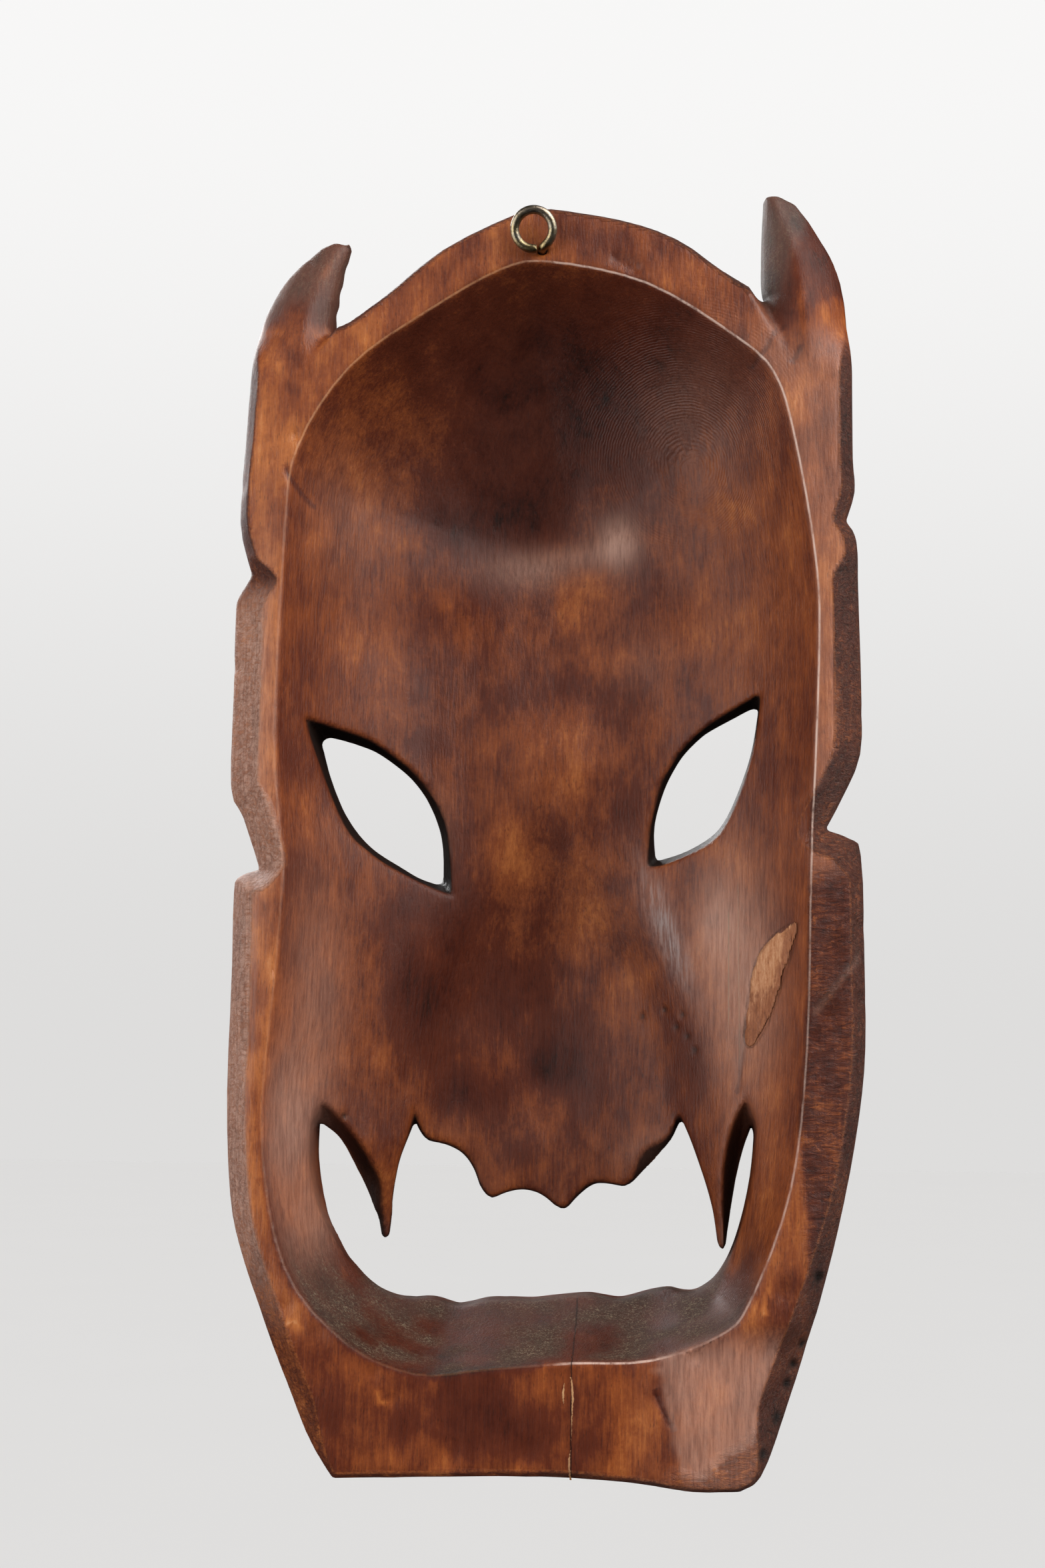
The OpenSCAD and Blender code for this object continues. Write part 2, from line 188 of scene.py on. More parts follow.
RIM_EDGE = curve(
    [[0, 147.4], [-27, 140.8], [-51.5, 125], [-62, 114.5], [-67.5, 96], [-73, 61], [-73.5, 34], [-71, -22],
     [-69.5, -70], [-65, -107], [-54, -136.5], [-46, -145], [-28, -151.5], [-7.5, -152.5], [15, -154.5],
     [33, -156], [51.5, -148.5], [68.5, -129], [75.5, -94], [73, -53], [71.5, -23], [74.5, 13], [73, 72],
     [70, 95], [56, 117.6], [35, 133.2], [14, 145.4]],
    closed=True,
)
# Each opening has one outline in the hollow's surface and one in the face.
EYE_POS_BACK = loop(
    [
        [[68.6, 20.3], [61.2, 18.8], [52.9, 16.6], [46.5, 12.6], [40.9, 8.3], [35.4, 1.6], [31.7, -5.4],
         [30.5, -10.9], [29.5, -20], [29.1, -27.6]],
        [[29.1, -27.6], [35, -25.3], [46.8, -19.5], [52.3, -15.6], [57.1, -11], [61.2, -2.3], [65.8, 10.7],
         [68.6, 20.3]],
    ]
)
EYE_POS_FACE = loop(
    [
        [[66.7, 15.8], [64.5, 17.6], [54.8, 14.9], [49.1, 11.7], [43.8, 7.3], [39.7, 2.5], [36.9, -2.7],
         [34.8, -8.3], [33.8, -13.5], [33.8, -21.9], [34.8, -22.9]],
        [[34.8, -22.9], [39.4, -21.5], [44.6, -18.3], [51.1, -14.4], [55.2, -10.4], [59.3, -4.8], [62.2, 1.2],
         [64.7, 7.7], [66.7, 15.8]],
    ]
)
EYE_NEG_BACK = loop(
    [
        [[-58.9, 29], [-54.3, 26.7], [-47.3, 23.1], [-41.9, 19.4], [-36.9, 14.7], [-33.8, 10.1], [-30.7, 4.6],
         [-28.8, -3.2], [-27.3, -11], [-26.8, -19.1]],
        [[-26.8, -19.1], [-30.7, -18.7], [-38, -16], [-44.9, -12.5], [-49.5, -7], [-54.2, 4.6], [-57.3, 16.3],
         [-58.9, 29]],
    ]
)
EYE_NEG_FACE = loop(
    [
        [[-58.7, 26.3], [-56.3, 25.9], [-51.5, 23.5], [-46, 20.7], [-42.9, 18.7], [-38.1, 13.5], [-35, 8.3],
         [-32.2, 1.5], [-30, -4.8], [-29.6, -9.6], [-30.2, -15.5]],
        [[-30.2, -15.5], [-36.5, -13.9], [-41.2, -11.7], [-46, -8.7], [-49.1, -4.8], [-51.9, 0.8], [-55, 8.7],
         [-57, 15.9], [-58.7, 26.3]],
    ]
)
LOWER_LIP = [
    [[65.4, -92], [65.6, -100], [64.8, -107.4], [63.3, -114.7], [60.5, -122], [56.9, -128.4], [52.4, -133.9],
     [47.9, -137.7], [42.6, -140.1], [38.3, -140.6]],
    [[38.3, -140.6], [33, -140.6], [27.3, -142.2], [22.9, -142], [17.7, -140.7], [11.2, -140.5],
    [5.1, -140.6],
     [-0.4, -139.9], [-9.9, -138.9], [-13.4, -139.2]],
    [[-13.4, -139.2], [-16.4, -139.7], [-19.5, -140], [-22.9, -139.3], [-29.4, -137.4], [-33.3, -136.8],
     [-36.3, -137.3], [-38.9, -137.4]],
    [[-38.9, -137.4], [-41.4, -136.6], [-45.7, -133.2], [-49.2, -127.7], [-51.8, -121.3], [-54, -113.6],
     [-55.7, -105], [-56.6, -96.4], [-56.8, -90.7]],
]
MOUTH_FACE = loop(
    LOWER_LIP
    + [
        [[-56.8, -90.7], [-54.5, -97.8], [-52.8, -105.2], [-51.5, -112], [-50.4, -118], [-49, -124.6]],
        [[-49, -124.6], [-48, -126.2], [-46.9, -124.4]],
        [[-46.9, -124.4], [-46, -116.8], [-44.5, -111.3], [-42.4, -104.9], [-39.8, -97.6], [-36.9, -90.8]],
        [[-36.9, -90.8], [-34.5, -96.3], [-31.9, -100.7], [-30.1, -103.3], [-27.5, -105.6], [-23.1, -108.9],
         [-20.4, -110.5]],
        [[-20.4, -110.5], [-15.1, -109.5], [-12, -109.9], [-8.4, -112.4], [-4, -116.4], [-2, -116.8]],
        [[-2, -116.8], [0, -115.8], [2.5, -113.6], [5.7, -112.1], [9.7, -111.5], [14.1, -112.4],
        [17.7, -114]],
        [[17.7, -114], [19.5, -113.4], [21.7, -110.6], [23.6, -105.8], [26.8, -101.4], [31.3, -99],
        [36.2, -97.8],
         [38.5, -95.4], [39.9, -92.4]],
        [[39.9, -92.4], [42.6, -98.5], [44.8, -104.6], [46.0, -112.4], [46.3, -119.4], [46.7, -124]],
        [[46.7, -124], [47.8, -125.6], [49, -124.6]],
        [[49, -124.6], [50.7, -119.4], [53, -113], [56.3, -106.1], [60.4, -97.9], [65.4, -92]],
    ]
)
MOUTH_BACK = loop(
    [[[63.4, -85.6], *LOWER_LIP[0]], *LOWER_LIP[1:3], [*LOWER_LIP[3], [-54.8, -83]]]
    + [
        [[-54.8, -83], [-52.1, -87.6], [-49.6, -94], [-48, -102.9], [-47.8, -110.5], [-48, -117],
        [-48.6, -124]],
        [[-48.6, -124], [-47.6, -125.6], [-46.4, -123.6]],
        [[-46.4, -123.6], [-45.2, -115.1], [-43.5, -108.4], [-41.4, -102.1], [-38.8, -95], [-35.8, -88.4]],
        [[-35.8, -88.4], [-33.7, -94.2], [-31.5, -96.6], [-28.9, -97.7], [-26.3, -99], [-24.5, -101.6],
         [-23.5, -105.5], [-22.4, -108.1], [-20.2, -109.4]],
        [[-20.2, -109.4], [-17.2, -109], [-12.8, -108.6], [-9.7, -109.5], [-6.3, -112.6], [-4.1, -115.6],
         [-2.6, -116]],
        [[-2.6, -116], [-0.6, -115], [2.3, -112.8], [5, -111.4], [8.9, -110.8], [13.3, -111.7],
        [16.8, -113.3]],
        [[16.8, -113.3], [18.6, -112.7], [20.8, -109.9], [22.6, -105.2], [25.7, -100.9], [30.2, -98.3],
         [35.5, -96.7], [38.2, -92.8], [39.4, -88.3]],
        [[39.4, -88.3], [40.8, -95.9], [42.9, -102.3], [44.6, -110.8], [45.2, -117], [46, -123.4]],
        [[46, -123.4], [47, -125], [48, -123.4]],
        [[48, -123.4], [48, -115.4], [48.4, -107.5], [52.5, -98.6], [58.7, -90.3], [63.4, -85.6]],
    ]
)
CHEEK_PATCH = curve(
    [[-67.8, -36.6], [-64.4, -37.6], [-60.6, -40.6], [-57.4, -45.5], [-55.8, -51], [-54.8, -57], [-54, -63],
     [-54, -69], [-56, -70], [-58.8, -66.4], [-61.2, -61], [-63.2, -55], [-65.2, -48.5], [-67, -42]],
    closed=True,
)
RIDGE_NEG = [
    [-62.5, 169], [-63, 164.7], [-65.8, 156.9], [-68.4, 146.3], [-69.3, 137.6], [-70.2, 128], [-71, 112],
]
RIDGE_POS = [[60.5, 158], [61.5, 152.4], [65.2, 145.6], [67.8, 137.8], [69.6, 130.1], [71, 115]]

edge = signed_distance(OUTLINE) - 0.08
rim = signed_distance(RIM_EDGE)
patch = signed_distance(CHEEK_PATCH)

# ---------------------------------------------------------------- the back

above_chin = smooth(Z, -184, -160) * (1 - smooth(Z, 112, 130))
at_jaw = 1 - smooth(Z, -165, -98)
neg_side = X < 0
ear_band = smooth(Z, -26, -20) * (1 - smooth(Z, 56, 64))
top_band = smooth(Z, 56, 64)
bevel_in = 1.5 + above_chin * np.where(
    neg_side, 2.4 + 4.6 * at_jaw + 3.6 * ear_band, 5.2 + 2.6 * ear_band - 3.2 * top_band
)
bevel_deep = 1.6 + above_chin * np.where(neg_side, 2.4 + 9 * at_jaw + 1.6 * ear_band, 6 - 2.4 * top_band)
bow = 2.8 * (np.maximum(Z + 100, 0) / 260) ** 2

run = 9 + 11 * smooth(Z, -135, -95)
level = 1 - np.exp(-np.maximum(rim, 0) / run)
NOSE_POCKET = curve(
    [[-12, -6], [-22, -18], [-30, -33], [-36.5, -50], [-42, -68], [-46, -88], [-48, -132], [0, -140],
    [48, -132],
     [45, -84], [42, -62], [36, -42], [28, -22], [16, -4], [0, 4]],
    closed=True,
)
pocket = signed_distance(NOSE_POCKET)
crisp = 0.45 * smooth(-X, -12, 32) * smooth(-Z, 30, 60)
hills = (
    7 * bump(4, 80, 26, 22)
    - 1.6 * bump(-19, 76, 7, 6)
    - 5 * bump(0, 10, 20, 20)
    + 8 * smooth(pocket, -6 + 3 * crisp, 20 - 9 * crisp) * smooth(-Z, 0, 48)
    + 3 * bump(2, -62, 24, 24)
)
back = bow + level * (45 + hills * smooth(rim, 5, 25))
POCKET = 1.1

# Carving marks: shallow gouge strokes in the hollow, scraped facets on the rim.
in_hollow = smooth(rim, 1, 8)
back += in_hollow * (0.28 * noise(7, 16, 11) + 0.13 * noise(3.2, 7, 12) + 0.35 * noise(18, 22, 13))
swirl = np.hypot(X + 34, Z - 100)
gouges = np.sin(swirl * 1.35 + 1.6 * noise(14, 14, 14)) * bump(-42, 112, 26, 30) * smooth(rim, 4, 14)
back += 0.07 * gouges
chatter = np.sin((Z + 0.25 * X) * 1.05 + 2 * noise(9, 9, 15)) * (bump(36, 55, 12, 16) + bump(60, -75, 9, 16))
back += 0.05 * chatter * in_hollow
on_rim = smooth(-rim, 0.3, 2)
back += on_rim * (0.22 * noise(9, 14, 16) + 0.12 * noise(4, 5, 17))
back += on_rim * 0.5 * smooth(noise(10, 26, 18), 0.1, 0.8) * smooth(edge, 0, 6) * (1 - smooth(edge, 6, 12))

# Outer facets of the rim.
chamfer = np.clip(1 - edge / (bevel_in * (1 + 0.18 * noise(20, 30, 19))), 0, 1)
back += bevel_deep * chamfer * (1 - smooth(Z, 118, 132) * smooth(np.abs(X), 44, 58))
# The +X part of the chin is flat, and the -X part leans away from a soft ridge.
lean = np.maximum(-(X + 31 + (Z + 152) * -0.22), 0) * (1 - smooth(Z, -150, -140)) * (1 - smooth(rim, -2, 1))
back += 0.1 * np.maximum(lean - 1.5, 0)

SCAR = [[-72, -60.5], [-77, -54.5], [-83.5, -46]]
CRACKS = (
    [[-54.6, -62], [-53, -75.4], [-51.9, -82.7]], [[73.5, 89.6], [71.5, 85.1], [67, 80.3]],
    [[-62.4, 126.4], [-59.6, 121], [-56, 117.6]], [[-66.6, 131.4], [-64.4, 127]],
    [[-69.5, 122], [-67, 117.2]],
    [[-29.6, -159.2], [-31.6, -164], [-34.6, -169]],
)
# A worn groove along the +X rim, and the rough crack below it.
for points, deep, wide in (
    ([[81, 22], [80.8, 0], [80.3, -22]], 0.6, 1.1),
    ([[80.2, -24], [79.7, -42], [79.8, -60], [80.3, -78]], 1.3, 0.9),
    ([[-16.6, 149.2], [-20.3, 147.3], [-25, 144.2]], 1.0, 1.6),
    ([[-7.7, -146], [-7.8, -158], [-7.9, -170], [-7.9, -184]], 0.25, 0.9),
    *((points, 0.7, 0.8) for points in CRACKS),
    (SCAR, 1.2, 1.0),
):
    off, share = stroke(points)
    back += deep * np.exp(-((off / wide) ** 2)) * smooth(share, 0, 0.12) * (1 - smooth(share, 0.88, 1))

# Chips out of the outer edge and the arris of the rim.
for cx, cz, size, deep in (
    (-71.5, -66, 1.6, 1.4), (-76.5, -43, 2.4, 1.0), (-75, -60, 2.8, 1.6), (-84, -38, 1.8, 2.0),
    (-83.6, -58, 1.6, 1.8),
    (-84.8, 20, 1.3, 1.5), (-63.5, -133.8, 2.2, 0.8), (-71, -143, 2.4, 1.2), (67.8, -139.3, 1.8, 0.6),
    (58.8, -146.1, 2.2, 0.6), (44.4, -156.1, 1.8, 0.7), (39, -162.9, 1.5, 0.5), (70.5, 98, 1.3, 0.9),
    (86.4, 84, 1.5, 1.3), (86.8, 34, 1.6, 1.2), (-50, -143, 1.8, 0.8), (-40, -150.5, 1.6, 0.8),
    (84, -95, 1.4, 1.1),
):
    back += deep * bump(cx, cz, size, size * 1.3)
# Punched pits along the outer facet of the -X jaw, and the pocket of the cheek's filler.
PITS = [[-72.4, -130.2], [-68.4, -148.4], [-65.9, -153.6], [-64.2, -158.6], [-61.6, -167.2], [-57.6, -175.6]]
for cx, cz in PITS:
    back += 2.4 * bump(cx, cz, 1.1, 1.5)
PINHOLES = [[-25.5, -61.4], [-35.4, -64.4], [-38.4, -67], [-37, -61], [-32, -59.5], [-40.5, -71], [57.5, -90]]
for cx, cz in PINHOLES:
    back += 0.9 * bump(cx, cz, 0.8, 1.0)
whole_back = back.copy()
back += POCKET * smooth(patch, -0.2, 0.9)

# ---------------------------------------------------------------- the face

side = np.abs(X)
dome = 36 * (1 - np.exp(-np.maximum(edge, 0) / 40))
fade = smooth(edge, 4, 24)
relief = (
    6 * bump(0, 92, 40, 30)
    + 8 * bump(0, -12, 10, 36)
    + 17 * bump(0, -60, 15, 17)
    + 9 * (bump(17, -65, 8.5, 9) + bump(-17, -65, 8.5, 9))
    + 8 * (bump(45, -44, 19, 19) + bump(-45, -44, 19, 19))
    - 5 * (bump(47, 0, 27, 17) + bump(-45, 4, 27, 17))
    + 6 * bump(0, -148, 46, 6)
    + 8 * bump(0, -169, 24, 12)
    + 4 * (bump(28, -86, 24, 6) + bump(-28, -86, 24, 6))
)
face = 24 + dome + relief * fade


def carve(points, height, wide, ends=(0.1, 0.8), mirror=True):
    """A ridge, or with a height below 0 a groove, along a curve and its mirror image."""
    made = np.zeros(X.shape)
    for sign in (1, -1) if mirror else (1,):
        off, share = stroke([[sign * px, pz] for px, pz in points])
        taper = smooth(share, 0, ends[0]) * (1 - smooth(share, ends[1], 1))
        made += height * np.exp(-((off / (wide * (0.45 + 0.55 * taper))) ** 2)) * taper
    return made


# Brows, with strands, over deep sockets.
brow = [[9, 22], [20, 30], [34, 42], [50, 55], [66, 68], [73, 84]]
face += carve(brow, 9, 8.5, (0.12, 0.75)) * smooth(edge, 2, 14)
for shift in (-5.2, -1.8, 1.8, 5.2):
    face += carve([[px - shift * 0.62, pz + shift * 0.78] for px, pz in brow], -1.7, 0.95, (0.2, 0.8))
face += (
    carve([[6, 30], [7, 44], [5, 60]], -2.4, 2.0, (0.3, 0.6))
    + carve([[0, 34], [0, 52]], 2, 3, (0.3, 0.6), False)
)
# Furrows of the forehead.
for lift, deep in ((82, -2.4), (93, -2.1), (104, -1.8), (115, -1.4)):
    for rise, height, wide in ((0, deep, 1.9), (5.2, 1.5, 2.8)):
        half = [[14, lift + rise + 3.5], [30, lift + rise + 1], [46 - rise, lift + rise + 8]]
        furrow = [[-px, pz] for px, pz in half[::-1]] + [[0, lift + rise - 1]] + half
        face += carve(furrow, height, wide, (0.2, 0.8), False)
# Lids around the eyes.
eye_face = np.maximum(signed_distance(EYE_POS_FACE), signed_distance(EYE_NEG_FACE))
eye_back = np.maximum(signed_distance(EYE_POS_BACK), signed_distance(EYE_NEG_BACK))
round_eye = -eye_face
face += 3.4 * near_line(round_eye - 4.2, 2.7) - 2.2 * near_line(round_eye - 9, 1.6)
# Nose: bridge creases, nostrils and the edge of its wings.
face += carve([[9, 4], [10, -16], [10, -36]], -1.5, 2.6, (0.3, 0.7))
for lift in (2, -7, -16):
    face += carve([[0, lift], [8, lift + 3.5]], -1.3, 1.1, (0.01, 0.5))
face -= 8 * (bump(9.5, -75, 4.4, 3.4) + bump(-9.5, -75, 4.4, 3.4))
face += carve([[13, -50], [22, -52], [28, -62], [25, -74], [15, -79]], -2.6, 1.6, (0.2, 0.8))
# Folds from the nose to the corners of the mouth, and round the cheeks.
face += (
    carve([[27, -56], [37, -66], [50, -74], [64, -84], [71, -100]], -3.2, 2.0, (0.15, 0.7))
    * smooth(edge, 1, 8)
)
face += carve([[30, -62], [42, -73], [56, -82], [66, -94]], 2.4, 2.6, (0.2, 0.7))
face += carve([[66, -22], [60, -16], [48, -24], [36, -30]], -2, 1.6, (0.2, 0.7))
for lift in (-34, -42, -50):
    face += carve([[64, lift], [56, lift + 5], [48, lift + 3]], -0.9, 1.2, (0.3, 0.6))
# Lips, teeth and fangs.
mouth_face = signed_distance(MOUTH_FACE)
mouth_back = signed_distance(MOUTH_BACK)
round_mouth = -mouth_face
face += (3.6 * near_line(round_mouth - 7.5, 3.2) - 2.2 * near_line(round_mouth - 13, 1.7)) * fade
for tooth in (-20.4, -3.0, 17.7, 31.0):
    face += carve([[tooth + 8, -104], [tooth + 8.6, -97]], -1.8, 1.0, (0.1, 0.8), False)
for tooth in (-39, -26, -13.4, 0, 13, 26, 38.3):
    face += carve([[tooth, -141], [tooth, -147]], -1.6, 1.1, (0.1, 0.8), False)
face += carve([[0, -156], [20, -157], [42, -152], [58, -140]], -2.6, 2.2, (0.02, 0.7))
for start in (6, 14, 22, 30):
    face += carve([[start * 0.55, -161], [start * 0.8, -170], [start, -180]], -1.3, 1.1, (0.15, 0.8))
fang_tip = (bump(47.5, -122, 6, 15) + bump(-47.5, -122, 6, 15)) * smooth(-Z, 96, 126)
face += 1.6 * (bump(47, -104, 4, 16) + bump(-47, -104, 4, 16)) - 3.2 * fang_tip
back += 2.4 * fang_tip
# Ears between the notches of the sides.
ear = bump(78, 26, 8.5, 34, power=4) + bump(-77, 32, 8.5, 34, power=4)
face += ear * (3.5 - 6.5 * (bump(76, 26, 4.2, 22) + bump(-75, 32, 4.2, 22)))
face += carve([[70, 58], [68, 28], [70, -6]], -2.4, 1.8, (0.2, 0.8)) * smooth(edge, 1, 6)
# Hair strokes over the temples and the jaw.
for k in range(5):
    face += carve([[58 + 4.5 * k, 122 - 3 * k], [62 + 4 * k, 104 - 3 * k], [66 + 3.4 * k, 86 - 2 * k]], -1.1,
        1.0)
for k in range(6):
    face += carve([[60 + 3.5 * k, -112 - 2 * k], [57 + 3 * k, -130 - 2 * k], [50 + 2.6 * k, -150 - 3 * k]],
        -1.2, 1.0)
face += 0.3 * noise(9, 12, 21) + 0.14 * noise(4, 6, 22)

# ---------------------------------------------------------------- horns

horn = smooth(Z, 114, 132) * smooth(side + 0.5 * np.minimum(Z - 138, 0), 55, 59.5)
horn_top = np.where(neg_side, 168.6, 157.6)
width = 11.4 * np.sqrt(np.clip((horn_top + 1 - Z) / 36, 0.02, 1))
swell = np.sqrt(np.clip(1 - (1 - np.clip(edge / width, 0, 1)) ** 2, 0, 1))
thick = 12.4 * np.clip((horn_top + 5 - Z) / 40, 0.16, 1) ** 0.55
off_neg, _ = stroke(RIDGE_NEG)
off_pos, _ = stroke(RIDGE_POS)
off_ridge = np.where(neg_side, off_neg, off_pos)
sharp = np.where(neg_side, 0.62, 0.34)
horn_mid = np.where(neg_side, 12.6, 14.2)
horn_back = horn_mid - thick * (0.5 + 0.5 * swell) + sharp * np.sqrt(off_ridge**2 + 1.5)
horn_back += 0.25 * noise(3, 12, 31) + 0.15 * noise(2.4, 3, 32)
rings = 0.9 * np.cos((Z - 0.25 * side) * 0.95) * smooth(Z, 118, 126) * (1 - smooth(Z, 146, 156))
horn_face = horn_mid + thick * (0.45 + 0.55 * swell) + rings
back = back * (1 - horn) + horn_back * horn
face = face * (1 - horn) + horn_face * horn
face = np.maximum(face, back + 5)

# ---------------------------------------------------------------- the solid and its skin

# The screw eye's shank: its axis x and z in the row frame, its hole, and how deep its tip is.
SHANK, BORE_RADIUS, SHANK_DEEP = (-2.24, -4.51), 1.45, 16.4


def soft_min(a, b, k):
    """The smaller of two fields, with the edge between them rounded over about k mm."""
    h = np.clip(0.5 + 0.5 * (b - a) / k, 0, 1)
    return b * (1 - h) + a * h - k * h * (1 - h)


def steepness(field, step):
    gx, gz = np.gradient(field, step)
    return np.sqrt(1 + gx**2 + gz**2)


def surface_net(f, axes):
    """Vertices and quads of the surface f = 0 of a field on a grid, inside where f is above 0."""
    inside = f > 0
    cells = tuple(n - 1 for n in f.shape)
    count = np.zeros(cells, np.int8)
    corners = [(i, j, k) for i in (0, 1) for j in (0, 1) for k in (0, 1)]
    for i, j, k in corners:
        count += inside[i : i + cells[0], j : j + cells[1], k : k + cells[2]]
    active = np.argwhere((count > 0) & (count < 8))
    index = np.full(cells, -1, np.int32)
    index[tuple(active.T)] = np.arange(len(active))
    total = np.zeros((len(active), 3))
    hits = np.zeros(len(active))
    for axis in range(3):
        for corner in corners:
            if corner[axis]:
                continue
            start = active + corner
            end = start.copy()
            end[:, axis] += 1
            a, b = f[tuple(start.T)], f[tuple(end.T)]
            crossed = (a > 0) != (b > 0)
            t = np.where(crossed, a / np.where(crossed, a - b, 1), 0)
            place = np.tile(np.array(corner, float), (len(active), 1))
            place[:, axis] += t
            total += place * crossed[:, None]
            hits += crossed
    local = active + total / hits[:, None]
    points = np.stack([np.interp(local[:, n], np.arange(len(axes[n])), axes[n]) for n in range(3)], 1)
    quads = []
    for axis in range(3):
        u, v = [(1, 2), (2, 0), (0, 1)][axis]
        low = [slice(None)] * 3
        high = [slice(None)] * 3
        low[axis], high[axis] = slice(0, -1), slice(1, None)
        change = inside[tuple(low)].astype(np.int8) - inside[tuple(high)]
        for sign in (1, -1):
            at = np.argwhere(change == sign)
            at = at[(at[:, u] > 0) & (at[:, v] > 0) & (at[:, u] < cells[u]) & (at[:, v] < cells[v])]
            ring = []
            for du, dv in ((0, 0), (1, 0), (1, 1), (0, 1)):
                cell = at.copy()
                cell[:, u] -= 1 - du
                cell[:, v] -= 1 - dv
                ring.append(index[tuple(cell.T)])
            quad = np.stack(ring, 1)
            # The grid's axes are x, depth and z, a left-handed set, so the turn is the other way round.
            quads.append(quad[:, ::-1] if sign > 0 else quad)
    return points, np.concatenate(quads)


def mesh_object(name, points, faces):
    """A smooth-shaded mesh object from arrays of points in metres and faces of equal size."""
    mesh = bpy.data.meshes.new(name)
    size = faces.shape[1]
    mesh.vertices.add(len(points))
    mesh.vertices.foreach_set("co", np.asarray(points, np.float32).ravel())
    mesh.loops.add(faces.size)
    mesh.loops.foreach_set("vertex_index", faces.astype(np.int32).ravel())
    mesh.polygons.add(len(faces))
    mesh.polygons.foreach_set("loop_start", np.arange(0, faces.size, size, dtype=np.int32))
    mesh.update(calc_edges=True)
    mesh.validate()
    mesh.polygons.foreach_set("use_smooth", np.ones(len(mesh.polygons), bool))
    made = bpy.data.objects.new(name, mesh)
    bpy.context.scene.collection.objects.link(made)
    return made


def apply_modifiers(obj):
    bpy.context.view_layer.update()
    done = bpy.data.meshes.new_from_object(obj.evaluated_get(bpy.context.evaluated_depsgraph_get()))
    obj.modifiers.clear()
    obj.data = done
    done.name = obj.name


def positions(obj):
    """The object's vertices in the carving frame, in mm."""
    co = np.zeros(len(obj.data.vertices) * 3, np.float32)
    obj.data.vertices.foreach_get("co", co)
    p = co.reshape(-1, 3).astype(float) / MM
    return np.stack([p[:, 0] + RING_X, RING_D - p[:, 1], p[:, 2] + RING_Z], 1)


def mask_field():
    depth = DS[None, :, None]
    b, f = back[:, None, :], face[:, None, :]
    solid = (depth - b) / steepness(back, GRID)[:, None, :]
    front = (f - depth) / steepness(face, GRID)[:, None, :]
    wall = edge[:, None, :] + 0 * depth
    share = np.clip((depth - b) / np.maximum(f - b, 4), -0.3, 1.4)
    eye = -(eye_back[:, None, :] * (1 - share) + eye_face[:, None, :] * share)
    mouth = -(mouth_back[:, None, :] * (1 - share) + mouth_face[:, None, :] * share)
    solid = soft_min(solid, wall, 1.3)
    solid = soft_min(solid, eye, 1.0)
    solid = soft_min(solid, mouth, 1.1)
    solid = soft_min(solid, front, 3.0)
    # The pilot hole of the screw eye.
    bore = np.hypot(X - RING_X - SHANK[0], Z - RING_Z - SHANK[1])[:, None, :] - BORE_RADIUS
    return np.minimum(solid, np.maximum(bore, depth - SHANK_DEEP - 0.4))


net_points, net_quads = surface_net(mask_field(), (XS, DS, ZS))
body = mesh_object("mask_carving", to_row(net_points), net_quads)
MAX_TRIANGLES = 190000
triangles = 2 * len(net_quads)
if triangles > MAX_TRIANGLES:
    shrink = body.modifiers.new("decimate", "DECIMATE")
    shrink.ratio = MAX_TRIANGLES / triangles
    apply_modifiers(body)
print("mask_carving", triangles, "->", len(body.data.polygons))

# ---------------------------------------------------------------- what the wood's material reads


def sampled(field, x, z):
    """A field's value at other points, from the grid."""
    u = np.clip((x - XS[0]) / GRID, 0, len(XS) - 1.001)
    v = np.clip((z - ZS[0]) / GRID, 0, len(ZS) - 1.001)
    i, j = u.astype(int), v.astype(int)
    s, t = u - i, v - j
    low = field[i, j] * (1 - s) + field[i + 1, j] * s
    high = field[i, j + 1] * (1 - s) + field[i + 1, j + 1] * s
    return low * (1 - t) + high * t


def bulge(obj):
    """How far each vertex stands out of its neighbours, against their spacing: above 0 on ridges."""
    mesh = obj.data
    co = np.zeros(len(mesh.vertices) * 3, np.float32)
    mesh.vertices.foreach_get("co", co)
    normal = np.zeros_like(co)
    mesh.vertex_normals.foreach_get("vector", normal)
    co, normal = co.reshape(-1, 3).astype(float), normal.reshape(-1, 3).astype(float)
    ends = np.zeros(len(mesh.edges) * 2, np.int32)
    mesh.edges.foreach_get("vertices", ends)
    a, b = ends.reshape(-1, 2).T
    value, count = np.zeros(len(co)), np.zeros(len(co))
    gap = co[b] - co[a]
    span = np.linalg.norm(gap, axis=1) + 1e-9
    for one, sign in ((a, -1), (b, 1)):
        np.add.at(value, one, sign * np.einsum("ij,ij->i", gap, normal[one]) / span)
        np.add.at(count, one, 1)
    value /= np.maximum(count, 1)
    for _ in range(2):
        total, count = value.copy(), np.ones(len(co))
        np.add.at(total, a, value[b])
        np.add.at(total, b, value[a])
        np.add.at(count, a, 1)
        np.add.at(count, b, 1)
        value = total / count
    return value


def set_attribute(obj, name, values):
    attribute = obj.data.attributes.new(name, "FLOAT", "POINT")
    attribute.data.foreach_set("value", np.asarray(values, np.float32))
